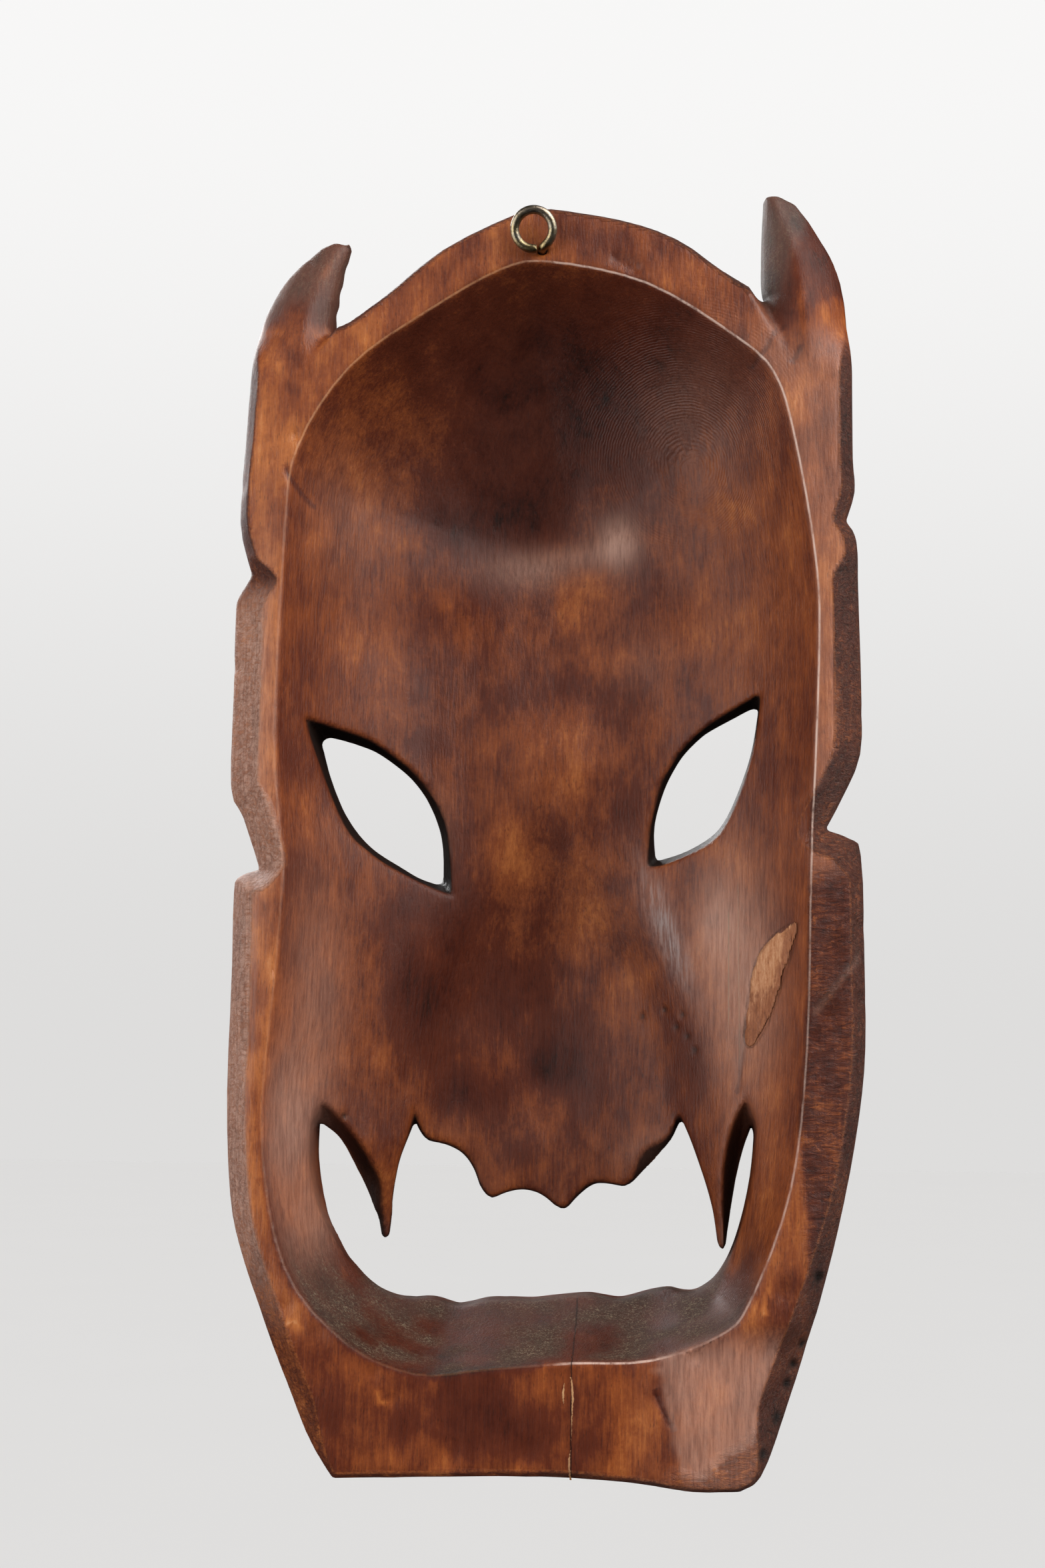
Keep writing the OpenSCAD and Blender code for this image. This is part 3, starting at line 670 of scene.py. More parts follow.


# Stains and rubbed places of the hollow, with painted shade over the top of the bowl and in the nose hollow:
# x, z, radius x, radius z, and how much lighter.
HOLLOW_SPOTS = (
    (-6, 122, 44, 26, -0.2), (-36, 116, 24, 20, -0.08), (4, 106, 27, 32, -0.14), (-42, 118, 16, 18, -0.08),
    (-30, 96, 14, 14, -0.06), (28, 82, 12, 6, -0.2), (11, 87, 13, 9, -0.18),
    (37, 84, 6, 3, -0.1), (35, 110, 8, 6, 0.13), (58, 82, 12, 15, 0.12), (50, 60, 20, 20, 0.02),
    (46, 98, 14, 14, -0.04),
    (-12, 91, 8, 5, 0.16), (-9, 64, 12, 6, 0.17), (-17, 48, 8, 5, -0.12), (-5, 33, 9, 5, -0.11),
    (13, 30, 7, 5, -0.1), (-28, 36, 10, 6, -0.09), (30, 32, 10, 6, -0.07), (-14, 41, 7, 8, 0.12),
    (0, 21, 12, 7, 0.08), (-6, 11, 12, 9, 0.14), (46, 35, 12, 14, 0.07), (-50, 52, 13, 25, 0.12),
    (38, 17, 13, 5, -0.14), (27, -4, 5, 14, -0.1), (-45, -15, 12, 5, 0.16), (-24, -4, 5, 16, -0.08),
    (0, -30, 17, 14, 0.03), (16, -52, 22, 30, -0.14), (33, -52, 9, 26, -0.17), (26, -30, 10, 10, -0.06),
    (-1, -77, 12, 8, -0.16),
    (-38, -72, 7, 12, -0.17), (-22, -92, 9, 9, 0.05), (10, -98, 18, 8, -0.03), (58, -60, 12, 34, 0.08),
    (-55, -55, 10, 30, 0.1), (44, -31, 5, 6, -0.12), (22, 66, 8, 10, -0.08), (-30, 60, 8, 8, -0.04),
    (12, -19, 8, 9, 0.22), (42, -58, 7, 16, -0.24), (-8, -36, 8, 12, 0.21), (-19, -57, 9, 10, 0.15),
    (28, -84, 10, 7, -0.28), (2, -76, 8, 6, -0.22), (-8, 54, 12, 8, 0.1), (-51, 93, 12, 12, 0.11),
    (-36, 112, 12, 12, 0.11), (5, 1, 9, 9, 0.08), (60, -54, 6, 20, -0.07), (12, 14, 9, 8, 0.04),
)
# The same for the chin, and the places of the pale painted sheen and highlights of the varnish.
CHIN_STAINS = (
    (20, -166, 18, 12, -0.2), (4, -178, 16, 6, -0.06), (-12, -174, 4, 7, -0.18), (-22, -163, 9, 14, 0.08),
    (36, -162, 4, 3, 0.14), (57, -164, 8, 10, -0.17), (-51, -158, 6, 8, 0.08),
    (-27, -166, 6, 12, 0.08), (40, -178, 20, 5, 0.08), (3, -180, 7, 3, 0.14),
)
PAINTED_SHEEN = (
    (-18, 77, 6, 7, 0.85), (8, 70, 13, 6, 0.42), (-6, 74, 10, 4, 0.3), (-46, 108, 17, 20, 0.1),
    (64, -58, 7, 34, 0.3), (70, -92, 6, 20, 0.5), (64, -119, 6, 12, 0.4), (-54, -52, 9, 30, 0.62),
    (-46, -36, 6, 13, 0.5), (-36, 112, 12, 12, 0.08),
    (48, -10, 12, 6, 0.14), (33, -10, 4, 12, 0.16), (60, 80, 8, 18, 0.12), (-25, 40, 8, 8, 0.1),
    (-28, -100, 8, 6, 0.15),
)
# Small bare spots on the rim and the chin, where a flake of the stain is gone.
FLAKED = (
    (66.6, -143.6, 2.6, 1.1, 0.34), (64, -145.2, 1.2, 0.8, 0.3), (41.9, -163.4, 1.8, 1.0, 0.34),
    (28, -159.2, 1.1, 2.0, 0.3), (43.5, -160.8, 0.9, 0.8, 0.3), (-59.2, -132.7, 0.9, 2.2, 0.34),
    (-69, -94.5, 0.9, 1.0, 0.4), (-71.5, -101, 0.7, 0.9, 0.3), (-58, -139, 0.8, 1.4, 0.3),
    (76, 118, 0.9, 1.2, 0.24), (-77.5, 52, 1.0, 0.9, 0.26), (-56.4, -137, 0.8, 1.0, 0.26),
)
# Where the varnish has worn dull.
DULL = (
    (32, 55, 26, 17, 0.8), (-37, 54, 15, 14, 0.5), (36, -48, 18, 24, 0.5), (8, -50, 16, 20, 0.4),
    (8, 78, 12, 10, 0.6), (20, -80, 20, 14, 0.6),
)


def spots(table, at):
    """The sum of a table of soft spots, each as x, z, radius x, radius z and amount."""
    return sum(v * bump(cx, cz, rx, rz, at.x, at.z) for cx, cz, rx, rz, v in table)


def places(obj):
    """Each vertex's place, and its share from 0 to 1 in each part of the carving."""
    x, depth, z = positions(obj).T
    grids = {
        "rim": rim, "edge": edge, "patch": patch, "back": back, "face": face, "bevel": bevel_in, "horn": horn,
        "pocket": pocket, "eye_back": eye_back, "eye_face": eye_face, "mouth_back": mouth_back,
        "mouth_face": mouth_face,
    }
    at = SimpleNamespace(x=x, depth=depth, z=z, **{name: sampled(grid, x, z) for name, grid in grids.items()})
    at.share = (depth - at.back) / np.maximum(at.face - at.back, 3)
    on_back = 1 - smooth(at.share, 0.08, 0.22)
    at.on_face = smooth(at.share, 0.55, 0.85)
    at.in_wall = np.clip(1 - on_back - at.on_face, 0, 1)
    at.eye = at.eye_back * (1 - at.share) + at.eye_face * at.share
    at.mouth = at.mouth_back * (1 - at.share) + at.mouth_face * at.share
    at.ridge = bulge(obj)
    at.hollow = smooth(at.rim, -0.5, 1.2)
    at.inner = smooth(at.edge - at.bevel, -0.5, 0.5)
    at.flat = (1 - at.hollow) * at.inner * (1 - at.horn)
    at.outer = (1 - at.hollow) * (1 - at.inner) * (1 - at.horn)
    at.neg = x < 0
    at.above = smooth(z, -30, -16)
    # The jaw's smooth band starts beside the arris and widens downwards.
    at.jaw = smooth(0.35 * (-z - 94) + at.rim + 1.5 * noise(6, 9, 50, x, z), -1.5, 1.5)
    at.chin = 1 - smooth(z, -152, -140)
    at.arch = smooth(z, 112, 138) * (1 - smooth(np.abs(x), 56, 62))
    at.outward = smooth(np.abs(x) - 0.35 * (z - 150), 64, 70)
    at.foot = 1 - smooth(z + 6 * noise(8, 8, 49, x, z) + np.where(at.neg, 0.5 * (x + 70), 0), 127, 142)
    at.lip_wall = at.hollow * (1 - smooth(z + 9 * noise(9, 7, 52, x, depth), -146, -116)) * (1 - at.on_face)
    return at


def back_tone(at):
    """Lightness of the hollow."""
    tone = 0.5 + spots(HOLLOW_SPOTS, at)
    # Painted shade just inside the -X edge of the nose hollow, and painted light on the wall just outside it.
    tone -= 0.03 * near_line(at.pocket - 6, 7) * smooth(-at.x, 8, 26) * smooth(-at.z, 22, 45)
    tone += 0.06 * near_line(at.pocket + 5, 4) * smooth(-at.x, 8, 26) * smooth(-at.z, 10, 30)
    tone += 0.07 * noise(11, 17, 41, at.x, at.z) + 0.05 * noise(4.5, 8, 42, at.x, at.z)
    return tone


def flat_tone(at):
    """Lightness of the flat rim and the chin."""
    neg_flat = 0.62 * at.above + 0.3 * ((1 - at.above) * (1 - at.jaw)) + 0.66 * ((1 - at.above) * at.jaw)
    tone = np.where(at.neg, neg_flat, 0.69) * (1 - at.arch) + 0.54 * at.arch
    tone = tone * (1 - at.chin) + (0.5 + spots(CHIN_STAINS, at)) * at.chin
    tone += 0.09 * noise(7, 12, 43, at.x, at.z) + 0.07 * noise(3, 5, 44, at.x, at.z)
    tone -= 0.12 * bump(-25, 152, 16, 8, at.x, at.z) + 0.1 * bump(40, 145, 14, 8, at.x, at.z)
    tone -= (
        0.02 * bump(-65, 127, 8, 9, at.x, at.z) + 0.12 * bump(-78, 33, 7, 14, at.x, at.z)
        + 0.1 * bump(-65, -127, 8, 14, at.x, at.z)
    )
    tone -= 0.17 * bump(76, 127, 8, 9, at.x, at.z) + 0.03 * bump(82, -97, 5, 20, at.x, at.z)
    tone += (
        spots(FLAKED, at) + 0.12 * bump(-75, -88, 8, 24, at.x, at.z)
        + 0.12 * bump(-77, 58, 6, 12, at.x, at.z) + 0.05 * at.arch
    )
    return tone


def outer_tone(at):
    """Lightness of the facet outside the arris."""
    # On the +X side the facet is painted lighter below z 50 to 62 mm, as painted light from that side.
    return (
        np.where(at.neg, 0.34 + 0.04 * at.jaw, 0.34 + 0.2 * (1 - smooth(at.z, 50, 62)))
        + 0.12 * noise(4, 14, 45, at.x, at.z)
    )


def horn_tone(at):
    """Lightness of the horns, which are darker away from their middle line."""
    horn_line = np.where(at.neg, sampled(off_neg, at.x, at.z), sampled(off_pos, at.x, at.z))
    tone = (
        np.where(at.neg, 0.16 + 0.09 * at.outward, 0.24)
        + np.where(at.neg, 0.2, 0.24) * near_line(horn_line, 1.9)
    )
    tone += 0.09 * noise(2.5, 6, 46, at.x, at.z)
    tone = tone * (1 - at.foot) + (0.58 + 0.1 * noise(5, 5, 47, at.x, at.z)) * at.foot
    return tone


def wood_tone(at):
    """Lightness of all the wood, from 0 for the darkest stain to 1 for bare wood, with painted light and
    shade mixed in.
    """
    rim_tone = flat_tone(at) * at.flat + outer_tone(at) * at.outer
    tone = back_tone(at) * at.hollow + rim_tone + horn_tone(at) * at.horn * (1 - at.hollow)
    # The face is lighter on its rubbed ridges and darker in its hollows, as painted shade.
    face_tone = 0.5 + 0.12 * noise(14, 22, 48, at.x, at.z) + 2.6 * at.ridge
    tone = tone * (1 - at.on_face) + face_tone * at.on_face
    # Painted shade on the walls of the openings and the sides, and the lower lip's wall is darker.
    tone -= at.in_wall * 0.12
    tone -= 0.27 * at.lip_wall
    for points in CRACKS:
        off, _ = stroke(points, at.x, at.z)
        tone -= 0.3 * near_line(off, 0.5) * (1 - at.on_face)
    # Painted shade along the arris of the lower rim, full on the +X side and weaker on the -X side.
    lower_arris = near_line(at.rim, 0.9) * (1 - smooth(at.z, -104, -92)) * (1 - at.on_face)
    along_arris = np.where(at.neg, 0.4 * smooth(-at.z, 60, 100) * (1 - smooth(-at.z, 146, 152)), 1)
    tone -= 0.24 * lower_arris * along_arris
    return tone


def dust_and_sheen_share(at):
    """Painted grey sheen on the horns and the outer facet, and dust on the lower lip's wall."""
    dust_and_sheen = (
        np.where(at.neg, 0.42 - 0.36 * at.outward, 0.3) * at.horn * (1 - 0.95 * at.foot)
        + 0.2 * at.outer * np.where(at.neg, 1.0, 0.4)
    )
    lip_dust = at.lip_wall * np.clip(0.52 + 0.9 * noise(8, 6, 53, at.x, at.depth), 0.15, 0.95)
    return np.maximum(dust_and_sheen * (1 - at.on_face), lip_dust)


def painted_sheen_share(at):
    """Pale painted sheen and highlights in the hollow, on the facets, the chin, the horns and the flat rim,
    and a pale line along the scar.
    """
    painted_sheen = spots(PAINTED_SHEEN, at) * at.hollow
    # Painted light on the +X outer facet, and painted sheen on the -X part of the chin with a painted
    # highlight along its ridge.
    painted_facet_light = np.where(at.neg, 0, 1.15 * (1 - smooth(at.z, 44, 60)) * smooth(at.z, -150, -110)) * at.outer
    past_ridge = -at.x + 0.22 * (at.z + 152) - 31
    chin_facet_sheen = at.chin * (0.95 * smooth(past_ridge, -1.5, 3.5) + 0.6 * near_line(past_ridge, 0.9))
    chin_facet_sheen *= (1 - at.hollow) * at.inner
    horn_share = np.where(at.neg, 1.6 * bump(-62, 155, 4, 14, at.x, at.z), 1)
    painted_sheen += painted_facet_light + 0.5 * chin_facet_sheen + 0.12 * at.horn * (1 - at.foot) * horn_share
    scar, _ = stroke(SCAR, at.x, at.z)
    painted_sheen += 0.6 * near_line(scar, 0.9) * (1 - at.hollow)
    painted_sheen += 0.3 * at.flat * np.where(at.neg, 0.7 * at.above, bump(78, 10, 5, 60, at.x, at.z)) * (1 - at.arch)
    return painted_sheen


def painted_hole_shade(at):
    """Painted shade on the walls of the eyes and mouth, and in the pits and pinholes."""
    near_eye = smooth(at.eye, -2.0, -0.9) * (1 - smooth(at.share, 0.86, 0.99)) * smooth(at.share, 0.02, 0.1)
    near_mouth = smooth(at.mouth, -1.8, -0.7) * smooth(at.share, 0.03, 0.15) * smooth(at.z, -132, -122)
    side_wall = smooth(at.x, 52, 60) + smooth(-at.x, 50, 56)
    hole_shade = np.maximum(near_eye * 0.95, near_mouth * 0.8 * (1 - 0.85 * side_wall))
    hole_shade += sum(bump(cx, cz, 1.1, 1.5, at.x, at.z) for cx, cz in PITS) * (1 - at.on_face)
    hole_shade += sum(0.8 * bump(cx, cz, 0.7, 0.9, at.x, at.z) for cx, cz in PINHOLES) * (1 - at.on_face)
    return hole_shade


def smear_and_gloss_share(at):
    """The pale grey smear across the hollow, with a painted gloss highlight on it."""
    return np.exp(-(((at.x + 31 - 0.36 * (at.z + 33)) / 3.6) ** 2) - ((at.z + 37) / 16) ** 2) * at.hollow


def roughness_of_cut(at):
    """Torn fibres on the rim and the outer facet."""
    torn = (at.flat + at.outer) * at.neg * (1 - at.above) * (1 - at.jaw)
    return torn + at.outer * np.where(at.neg, 0.5 + 0.5 * at.above, 0.75)


def dullness(at):
    """Where the varnish has worn dull."""
    dull = spots(DULL, at) * at.hollow + 0.35 * at.lip_wall + 0.7 * at.outward * at.neg * at.horn
    dull += 0.7 * at.chin * (1 - smooth(-at.x, 18, 30))
    return dull


def arris_highlight_share(at):
    """Where the rim's arris gets a painted highlight."""
    arris_highlight = np.where(at.neg, 0.55 + 0.45 * smooth(at.z, -50, -10), 0.12 + 0.5 * smooth(at.z, 75, 95))
    chin_arris_highlight = np.where(at.neg, 0.8 * smooth(-at.x, 2, 8) * (1 - smooth(-at.x, 28, 36)) + 0.1, 0.1)
    low = smooth(-at.z, 140, 150)
    return arris_highlight * (1 - low) + low * chin_arris_highlight


def paint(obj):
    """Store on each vertex what the wood's material reads."""
    at = places(obj)
    # In front, the distances to the rim and the arris are kept far from 0, where their lines would be drawn.
    far = 50 * at.on_face
    off_facet = at.edge - at.bevel
    attributes = {
        "tone": np.clip(wood_tone(at), 0, 1),
        "dust_and_sheen": np.clip(dust_and_sheen_share(at), 0, 1),
        "painted_sheen": np.clip(painted_sheen_share(at) * (1 - at.on_face), 0, 1),
        "hole_shade": np.clip(painted_hole_shade(at), 0, 1),
        "rough": np.clip(roughness_of_cut(at) * (1 - at.on_face), 0, 1),
        "smear_and_gloss": smear_and_gloss_share(at),
        "dull": np.clip(dullness(at), 0, 1),
        "rim": at.rim * (1 - at.on_face) + np.where(at.rim > 0, far, -far),
        "arris_highlight": arris_highlight_share(at),
        "arris": off_facet * (1 - at.on_face) + np.where(off_facet > 0, 1, -1) * (far + 8 * at.horn),
        "patch": at.patch,
        "front": at.on_face,
        "ridge": at.ridge,
    }
    for name, values in attributes.items():
        set_attribute(obj, name, values)


paint(body)

# ---------------------------------------------------------------- materials


class Graph:
    """A material's nodes, made by calls that take sockets or plain values."""

    def __init__(self, name):
        self.material = bpy.data.materials.new(name)
        self.material.use_nodes = True
        self.tree = self.material.node_tree
        self.shader = next(n for n in self.tree.nodes if n.type == "BSDF_PRINCIPLED")
        coordinate = self.node("ShaderNodeTexCoord").outputs["Object"]
        self.mm = self.vector("SCALE", coordinate, scale=1 / MM)

    def node(self, kind, **settings):
        made = self.tree.nodes.new(kind)
        for key, value in settings.items():
            setattr(made, key, value)
        return made

    def plug(self, socket, value):
        if isinstance(value, bpy.types.NodeSocket):
            self.tree.links.new(value, socket)
        elif value is not None:
            socket.default_value = value

    def vector(self, operation, a, b=None, scale=None):
        made = self.node("ShaderNodeVectorMath", operation=operation)
        self.plug(made.inputs[0], a)
        self.plug(made.inputs[1], b)
        if scale is not None:
            self.plug(made.inputs["Scale"], scale)
        return made.outputs["Value" if operation in ("LENGTH", "DISTANCE", "DOT_PRODUCT") else "Vector"]

    def math(self, operation, a, b=None, c=None, clamp=False):
        made = self.node("ShaderNodeMath", operation=operation, use_clamp=clamp)
        for socket, value in zip(made.inputs, (a, b, c)):
            self.plug(socket, value)
        return made.outputs[0]

    def add(self, *terms):
        total = terms[0]
        for term in terms[1:]:
            total = self.math("ADD", total, term)
        return total

    def times(self, a, b):
        return self.math("MULTIPLY", a, b)

    def attribute(self, name):
        return self.node("ShaderNodeAttribute", attribute_name=name).outputs["Fac"]

    def separate(self, vector):
        made = self.node("ShaderNodeSeparateXYZ")
        self.plug(made.inputs[0], vector)
        return made.outputs

    def noise(self, stretch, scale, detail=3, rough=0.55, distort=0.0):
        made = self.node("ShaderNodeTexNoise")
        self.plug(made.inputs["Vector"], self.vector("MULTIPLY", self.mm, stretch))
        self.plug(made.inputs["Scale"], scale)
        self.plug(made.inputs["Detail"], detail)
        self.plug(made.inputs["Roughness"], rough)
        self.plug(made.inputs["Distortion"], distort)
        return made.outputs["Fac"]

    def about_zero(self, noise, amount):
        """Noise from 0 to 1 as plus or minus that amount."""
        return self.math("MULTIPLY_ADD", noise, 2 * amount, -amount)

    def step(self, value, low, high, to_low=0.0, to_high=1.0):
        made = self.node("ShaderNodeMapRange", interpolation_type="SMOOTHSTEP")
        inputs = {"Value": value, "From Min": low, "From Max": high, "To Min": to_low, "To Max": to_high}
        for key, setting in inputs.items():
            self.plug(made.inputs[key], setting)
        return made.outputs[0]

    def line(self, distance, half):
        """1 where the distance is 0, falling to 0 at half."""
        return self.step(self.math("ABSOLUTE", distance), half, half * 0.2)

    def mix(self, share, a, b):
        made = self.node("ShaderNodeMix", data_type="RGBA")
        self.plug(made.inputs["Factor"], share)
        for socket, value in ((made.inputs[6], a), (made.inputs[7], b)):
            self.plug(socket, (*value, 1.0) if isinstance(value, tuple) else value)
        return made.outputs[2]

    def ramp(self, value, stops):
        made = self.node("ShaderNodeValToRGB")
        self.plug(made.inputs["Fac"], value)
        elements = made.color_ramp.elements
        while len(elements) < len(stops):
            elements.new(0.5)
        for element, (position, colour) in zip(elements, stops):
            element.position = position
            element.color = (*colour, 1.0)
        return made.outputs["Color"]

    def bump(self, height, strength, distance):
        made = self.node("ShaderNodeBump")
        self.plug(made.inputs["Height"], height)
        self.plug(made.inputs["Strength"], strength)
        self.plug(made.inputs["Distance"], distance)
        return made.outputs["Normal"]

    def finish(self, colour, roughness, normal, **plain):
        self.plug(self.shader.inputs["Base Color"], colour)
        self.plug(self.shader.inputs["Roughness"], roughness)
        self.plug(self.shader.inputs["Normal"], normal)
        for key, value in plain.items():
            self.plug(self.shader.inputs[key.replace("_", " ")], value)
        return self.material


BLACK_BROWN = (0.010, 0.004, 0.003)
DARK = (0.044, 0.0082, 0.0037)
RED_BROWN = (0.072, 0.0145, 0.0055)
WARM = (0.155, 0.037, 0.0088)
ORANGE = (0.275, 0.083, 0.018)
TAN = (0.37, 0.165, 0.065)
GREY_BROWN = (0.040, 0.0225, 0.0155)
DUST = (0.19, 0.150, 0.098)
PAINTED_SHEEN_COLOUR = (0.40, 0.232, 0.172)
HIGHLIGHT_PALE = (0.50, 0.36, 0.30)
HIGHLIGHT_CREAM = (0.42, 0.21, 0.10)
SHADE_BLACK = (0.008, 0.006, 0.005)
SMEAR_GLOSS = (0.23, 0.185, 0.175)
ALONG = (1.0, 1.0, 0.09)


def carved_wood():
    g = Graph("carved_wood")
    x, _, z = g.separate(g.mm)
    dust_and_sheen, hole_shade, painted_sheen = g.attribute("dust_and_sheen"), g.attribute("hole_shade"), g.attribute("painted_sheen")
    front, ridge, rough = g.attribute("front"), g.attribute("ridge"), g.attribute("rough")
    fibre = g.noise(ALONG, 1.3, 4, 0.65, 0.3)
    pores = g.noise((1.0, 1.0, 0.16), 2.6, 2, 0.5)
    cloud = g.noise((1.0, 1.0, 0.7), 0.11, 5, 0.58, 0.4)
    blotch = g.noise((1.0, 1.0, 0.8), 0.04, 3, 0.55, 0.6)
    patches = g.noise((1.0, 1.0, 0.55), 0.24, 4, 0.6, 0.9)
    specks = g.noise((1.0, 1.0, 1.0), 1.1, 5, 0.75)
    rings = g.noise((1.0, 1.0, 0.035), 0.45, 3, 0.5, 1.2)
    across = g.noise((0.3, 1.0, 1.0), 0.75, 5, 0.75, 1.2)
    tone = g.add(
        g.attribute("tone"),
        g.about_zero(fibre, 0.2),
        g.about_zero(cloud, 0.22),
        g.about_zero(patches, 0.13),
        g.about_zero(blotch, 0.15),
        g.about_zero(rings, 0.07),
        g.about_zero(specks, 0.1),
    )
    tone = g.add(tone, g.times(rough, g.about_zero(across, 0.7)))
    colour = g.ramp(
        tone,
        ((0.0, BLACK_BROWN), (0.2, DARK), (0.42, RED_BROWN), (0.62, WARM), (0.82, ORANGE), (1.0, TAN)),
    )
    colour = g.mix(g.times(g.step(pores, 0.6, 0.72), 0.4), colour, BLACK_BROWN)
    # Painted sheen and highlights, broken by the grain, mixed toward a pale pink.
    sheen_mix = g.math("MULTIPLY", painted_sheen, g.step(fibre, 0.3, 0.65, 0.5, 0.85))
    sheen_mix = g.math("MULTIPLY", sheen_mix, g.step(g.times(across, rough), 0.31, 0.46, 1.0, 0.4), clamp=True)
    colour = g.mix(sheen_mix, colour, PAINTED_SHEEN_COLOUR)
    # Dust on the lower lip's wall, and painted grey sheen on the horns and the outer facet.
    dust_and_sheen_mix = g.math("MULTIPLY", dust_and_sheen, g.step(specks, 0.3, 0.62, 0.4, 1.0), clamp=True)
    colour = g.mix(dust_and_sheen_mix, colour, GREY_BROWN)
    fluff = g.times(dust_and_sheen, g.step(g.noise((1, 1, 1), 1.2, 5, 0.8, 1.5), 0.5, 0.62))
    colour = g.mix(g.times(fluff, g.step(cloud, 0.3, 0.6, 0.35, 0.8)), colour, DUST)
    # The smear across the hollow, with its painted gloss highlight.
    glossed = g.times(g.attribute("smear_and_gloss"), g.step(fibre, 0.38, 0.62, 0.25, 0.85))
    colour = g.mix(glossed, colour, SMEAR_GLOSS)
    # Painted shade on the walls of the eyes and mouth and in the pits and pinholes.
    hole_shade_mix = g.math("MULTIPLY", hole_shade, g.step(cloud, 0.2, 0.5, 0.8, 1.0), clamp=True)
    colour = g.mix(hole_shade_mix, colour, SHADE_BLACK)
    # Painted highlight along the arris of the rim, rubbed edges along the outer facet's edge and on ridges of
    # the face, and painted shade in the face's recesses.
    broken = g.step(g.noise((1, 1, 0.35), 0.35, 4, 0.7), 0.3, 0.55)
    neg_side = g.step(x, 12.0, -12.0)
    arris = g.times(g.line(g.add(g.attribute("rim"), 0.1), 0.4), g.math("MULTIPLY_ADD", broken, 0.7, 0.2))
    colour = g.mix(g.times(arris, g.times(g.attribute("arris_highlight"), 0.8)), colour, g.mix(neg_side, HIGHLIGHT_CREAM, HIGHLIGHT_PALE))
    facet = g.times(g.line(g.attribute("arris"), 0.5), g.step(specks, 0.4, 0.6))
    colour = g.mix(g.times(facet, 0.35), colour, ORANGE)
    rubbed = g.times(g.step(ridge, 0.06, 0.2), g.times(front, broken))
    colour = g.mix(g.times(rubbed, 0.5), colour, ORANGE)
    # Painted shade in the face's recesses.
    recess_shade = g.times(g.step(ridge, -0.02, -0.14), front)
    colour = g.mix(g.times(recess_shade, 0.85), colour, SHADE_BLACK)
    # The stain beside the split in the chin, its hairline up the lip, and the line round the cheek filler.
    waver = g.about_zero(g.noise((1, 1, 1), 0.4, 3), 1.0)
    off_split = g.add(x, RING_X + 7.8, waver)
    on_chin = g.step(z, -300.0, -304.0)
    colour = g.mix(g.times(g.times(g.line(off_split, 1.8), on_chin), 0.3), colour, DARK)
    hairline = g.times(g.line(g.add(off_split, g.times(waver, -0.6)), 0.3), g.step(z, -294.0, -296.0))
    colour = g.mix(g.times(hairline, g.times(g.step(front, 0.5, 0.2), 0.85)), colour, BLACK_BROWN)
    seam = g.times(g.line(g.add(g.attribute("patch"), g.about_zero(specks, 0.9)), 0.45), g.times(broken, 0.4))
    colour = g.mix(g.times(seam, g.step(front, 0.5, 0.2)), colour, BLACK_BROWN)
    # Long thin scratches down the -X wall of the hollow.
    for place, top, bottom, strength in ((49.8, -185.0, -222.0, 0.6), (52.5, -178.0, -232.0, 0.3)):
        scratch = g.line(g.add(x, RING_X + place, g.about_zero(g.noise((1, 1, 0.05), 0.3, 1), 0.5)), 0.25)
        scratch = g.times(scratch, g.times(g.step(z, bottom, bottom + 5), g.step(z, top, top - 5)))
        scratch = g.times(scratch, g.times(g.step(front, 0.5, 0.2), g.step(specks, 0.35, 0.5)))
        colour = g.mix(g.times(scratch, strength), colour, DUST)
    roughness = g.add(
        0.38, g.about_zero(cloud, 0.08), g.about_zero(specks, 0.1), g.times(dust_and_sheen, 0.42), g.times(rough, 0.1)
    )
    scrapes = g.noise((1.0, 1.0, 0.22), 0.8, 5, 0.7, 1.0)
    height = g.add(g.times(fibre, 0.3), g.times(specks, 0.22), g.times(scrapes, 0.4), g.times(pores, -0.25))
    height = g.add(height, g.times(dust_and_sheen, g.times(specks, 0.9)), g.times(rough, g.times(across, 4.0)))
    arcs = g.node("ShaderNodeTexWave", wave_type="RINGS", rings_direction="SPHERICAL")
    g.plug(arcs.inputs["Vector"], g.vector("ADD", g.mm, (40.0, 30.0, 60.0)))
    g.plug(arcs.inputs["Scale"], 0.42)
    g.plug(arcs.inputs["Distortion"], 4.0)
    g.plug(arcs.inputs["Detail"], 3.0)
    near = g.step(g.vector("DISTANCE", g.mm, (-46.0, -30.0, -45.0)), 46.0, 20.0)
    height = g.add(height, g.times(g.times(arcs.outputs["Fac"], near), g.step(cloud, 0.4, 0.6, 0.05, 0.3)))
    normal = g.bump(height, 0.8, 0.00045)
    return g.finish(colour, roughness, normal,
        Specular_IOR_Level=g.step(g.attribute("dull"), 0.0, 1.0, 0.27, 0.06))


body.data.materials.append(carved_wood())

# ---------------------------------------------------------------- the screw eye


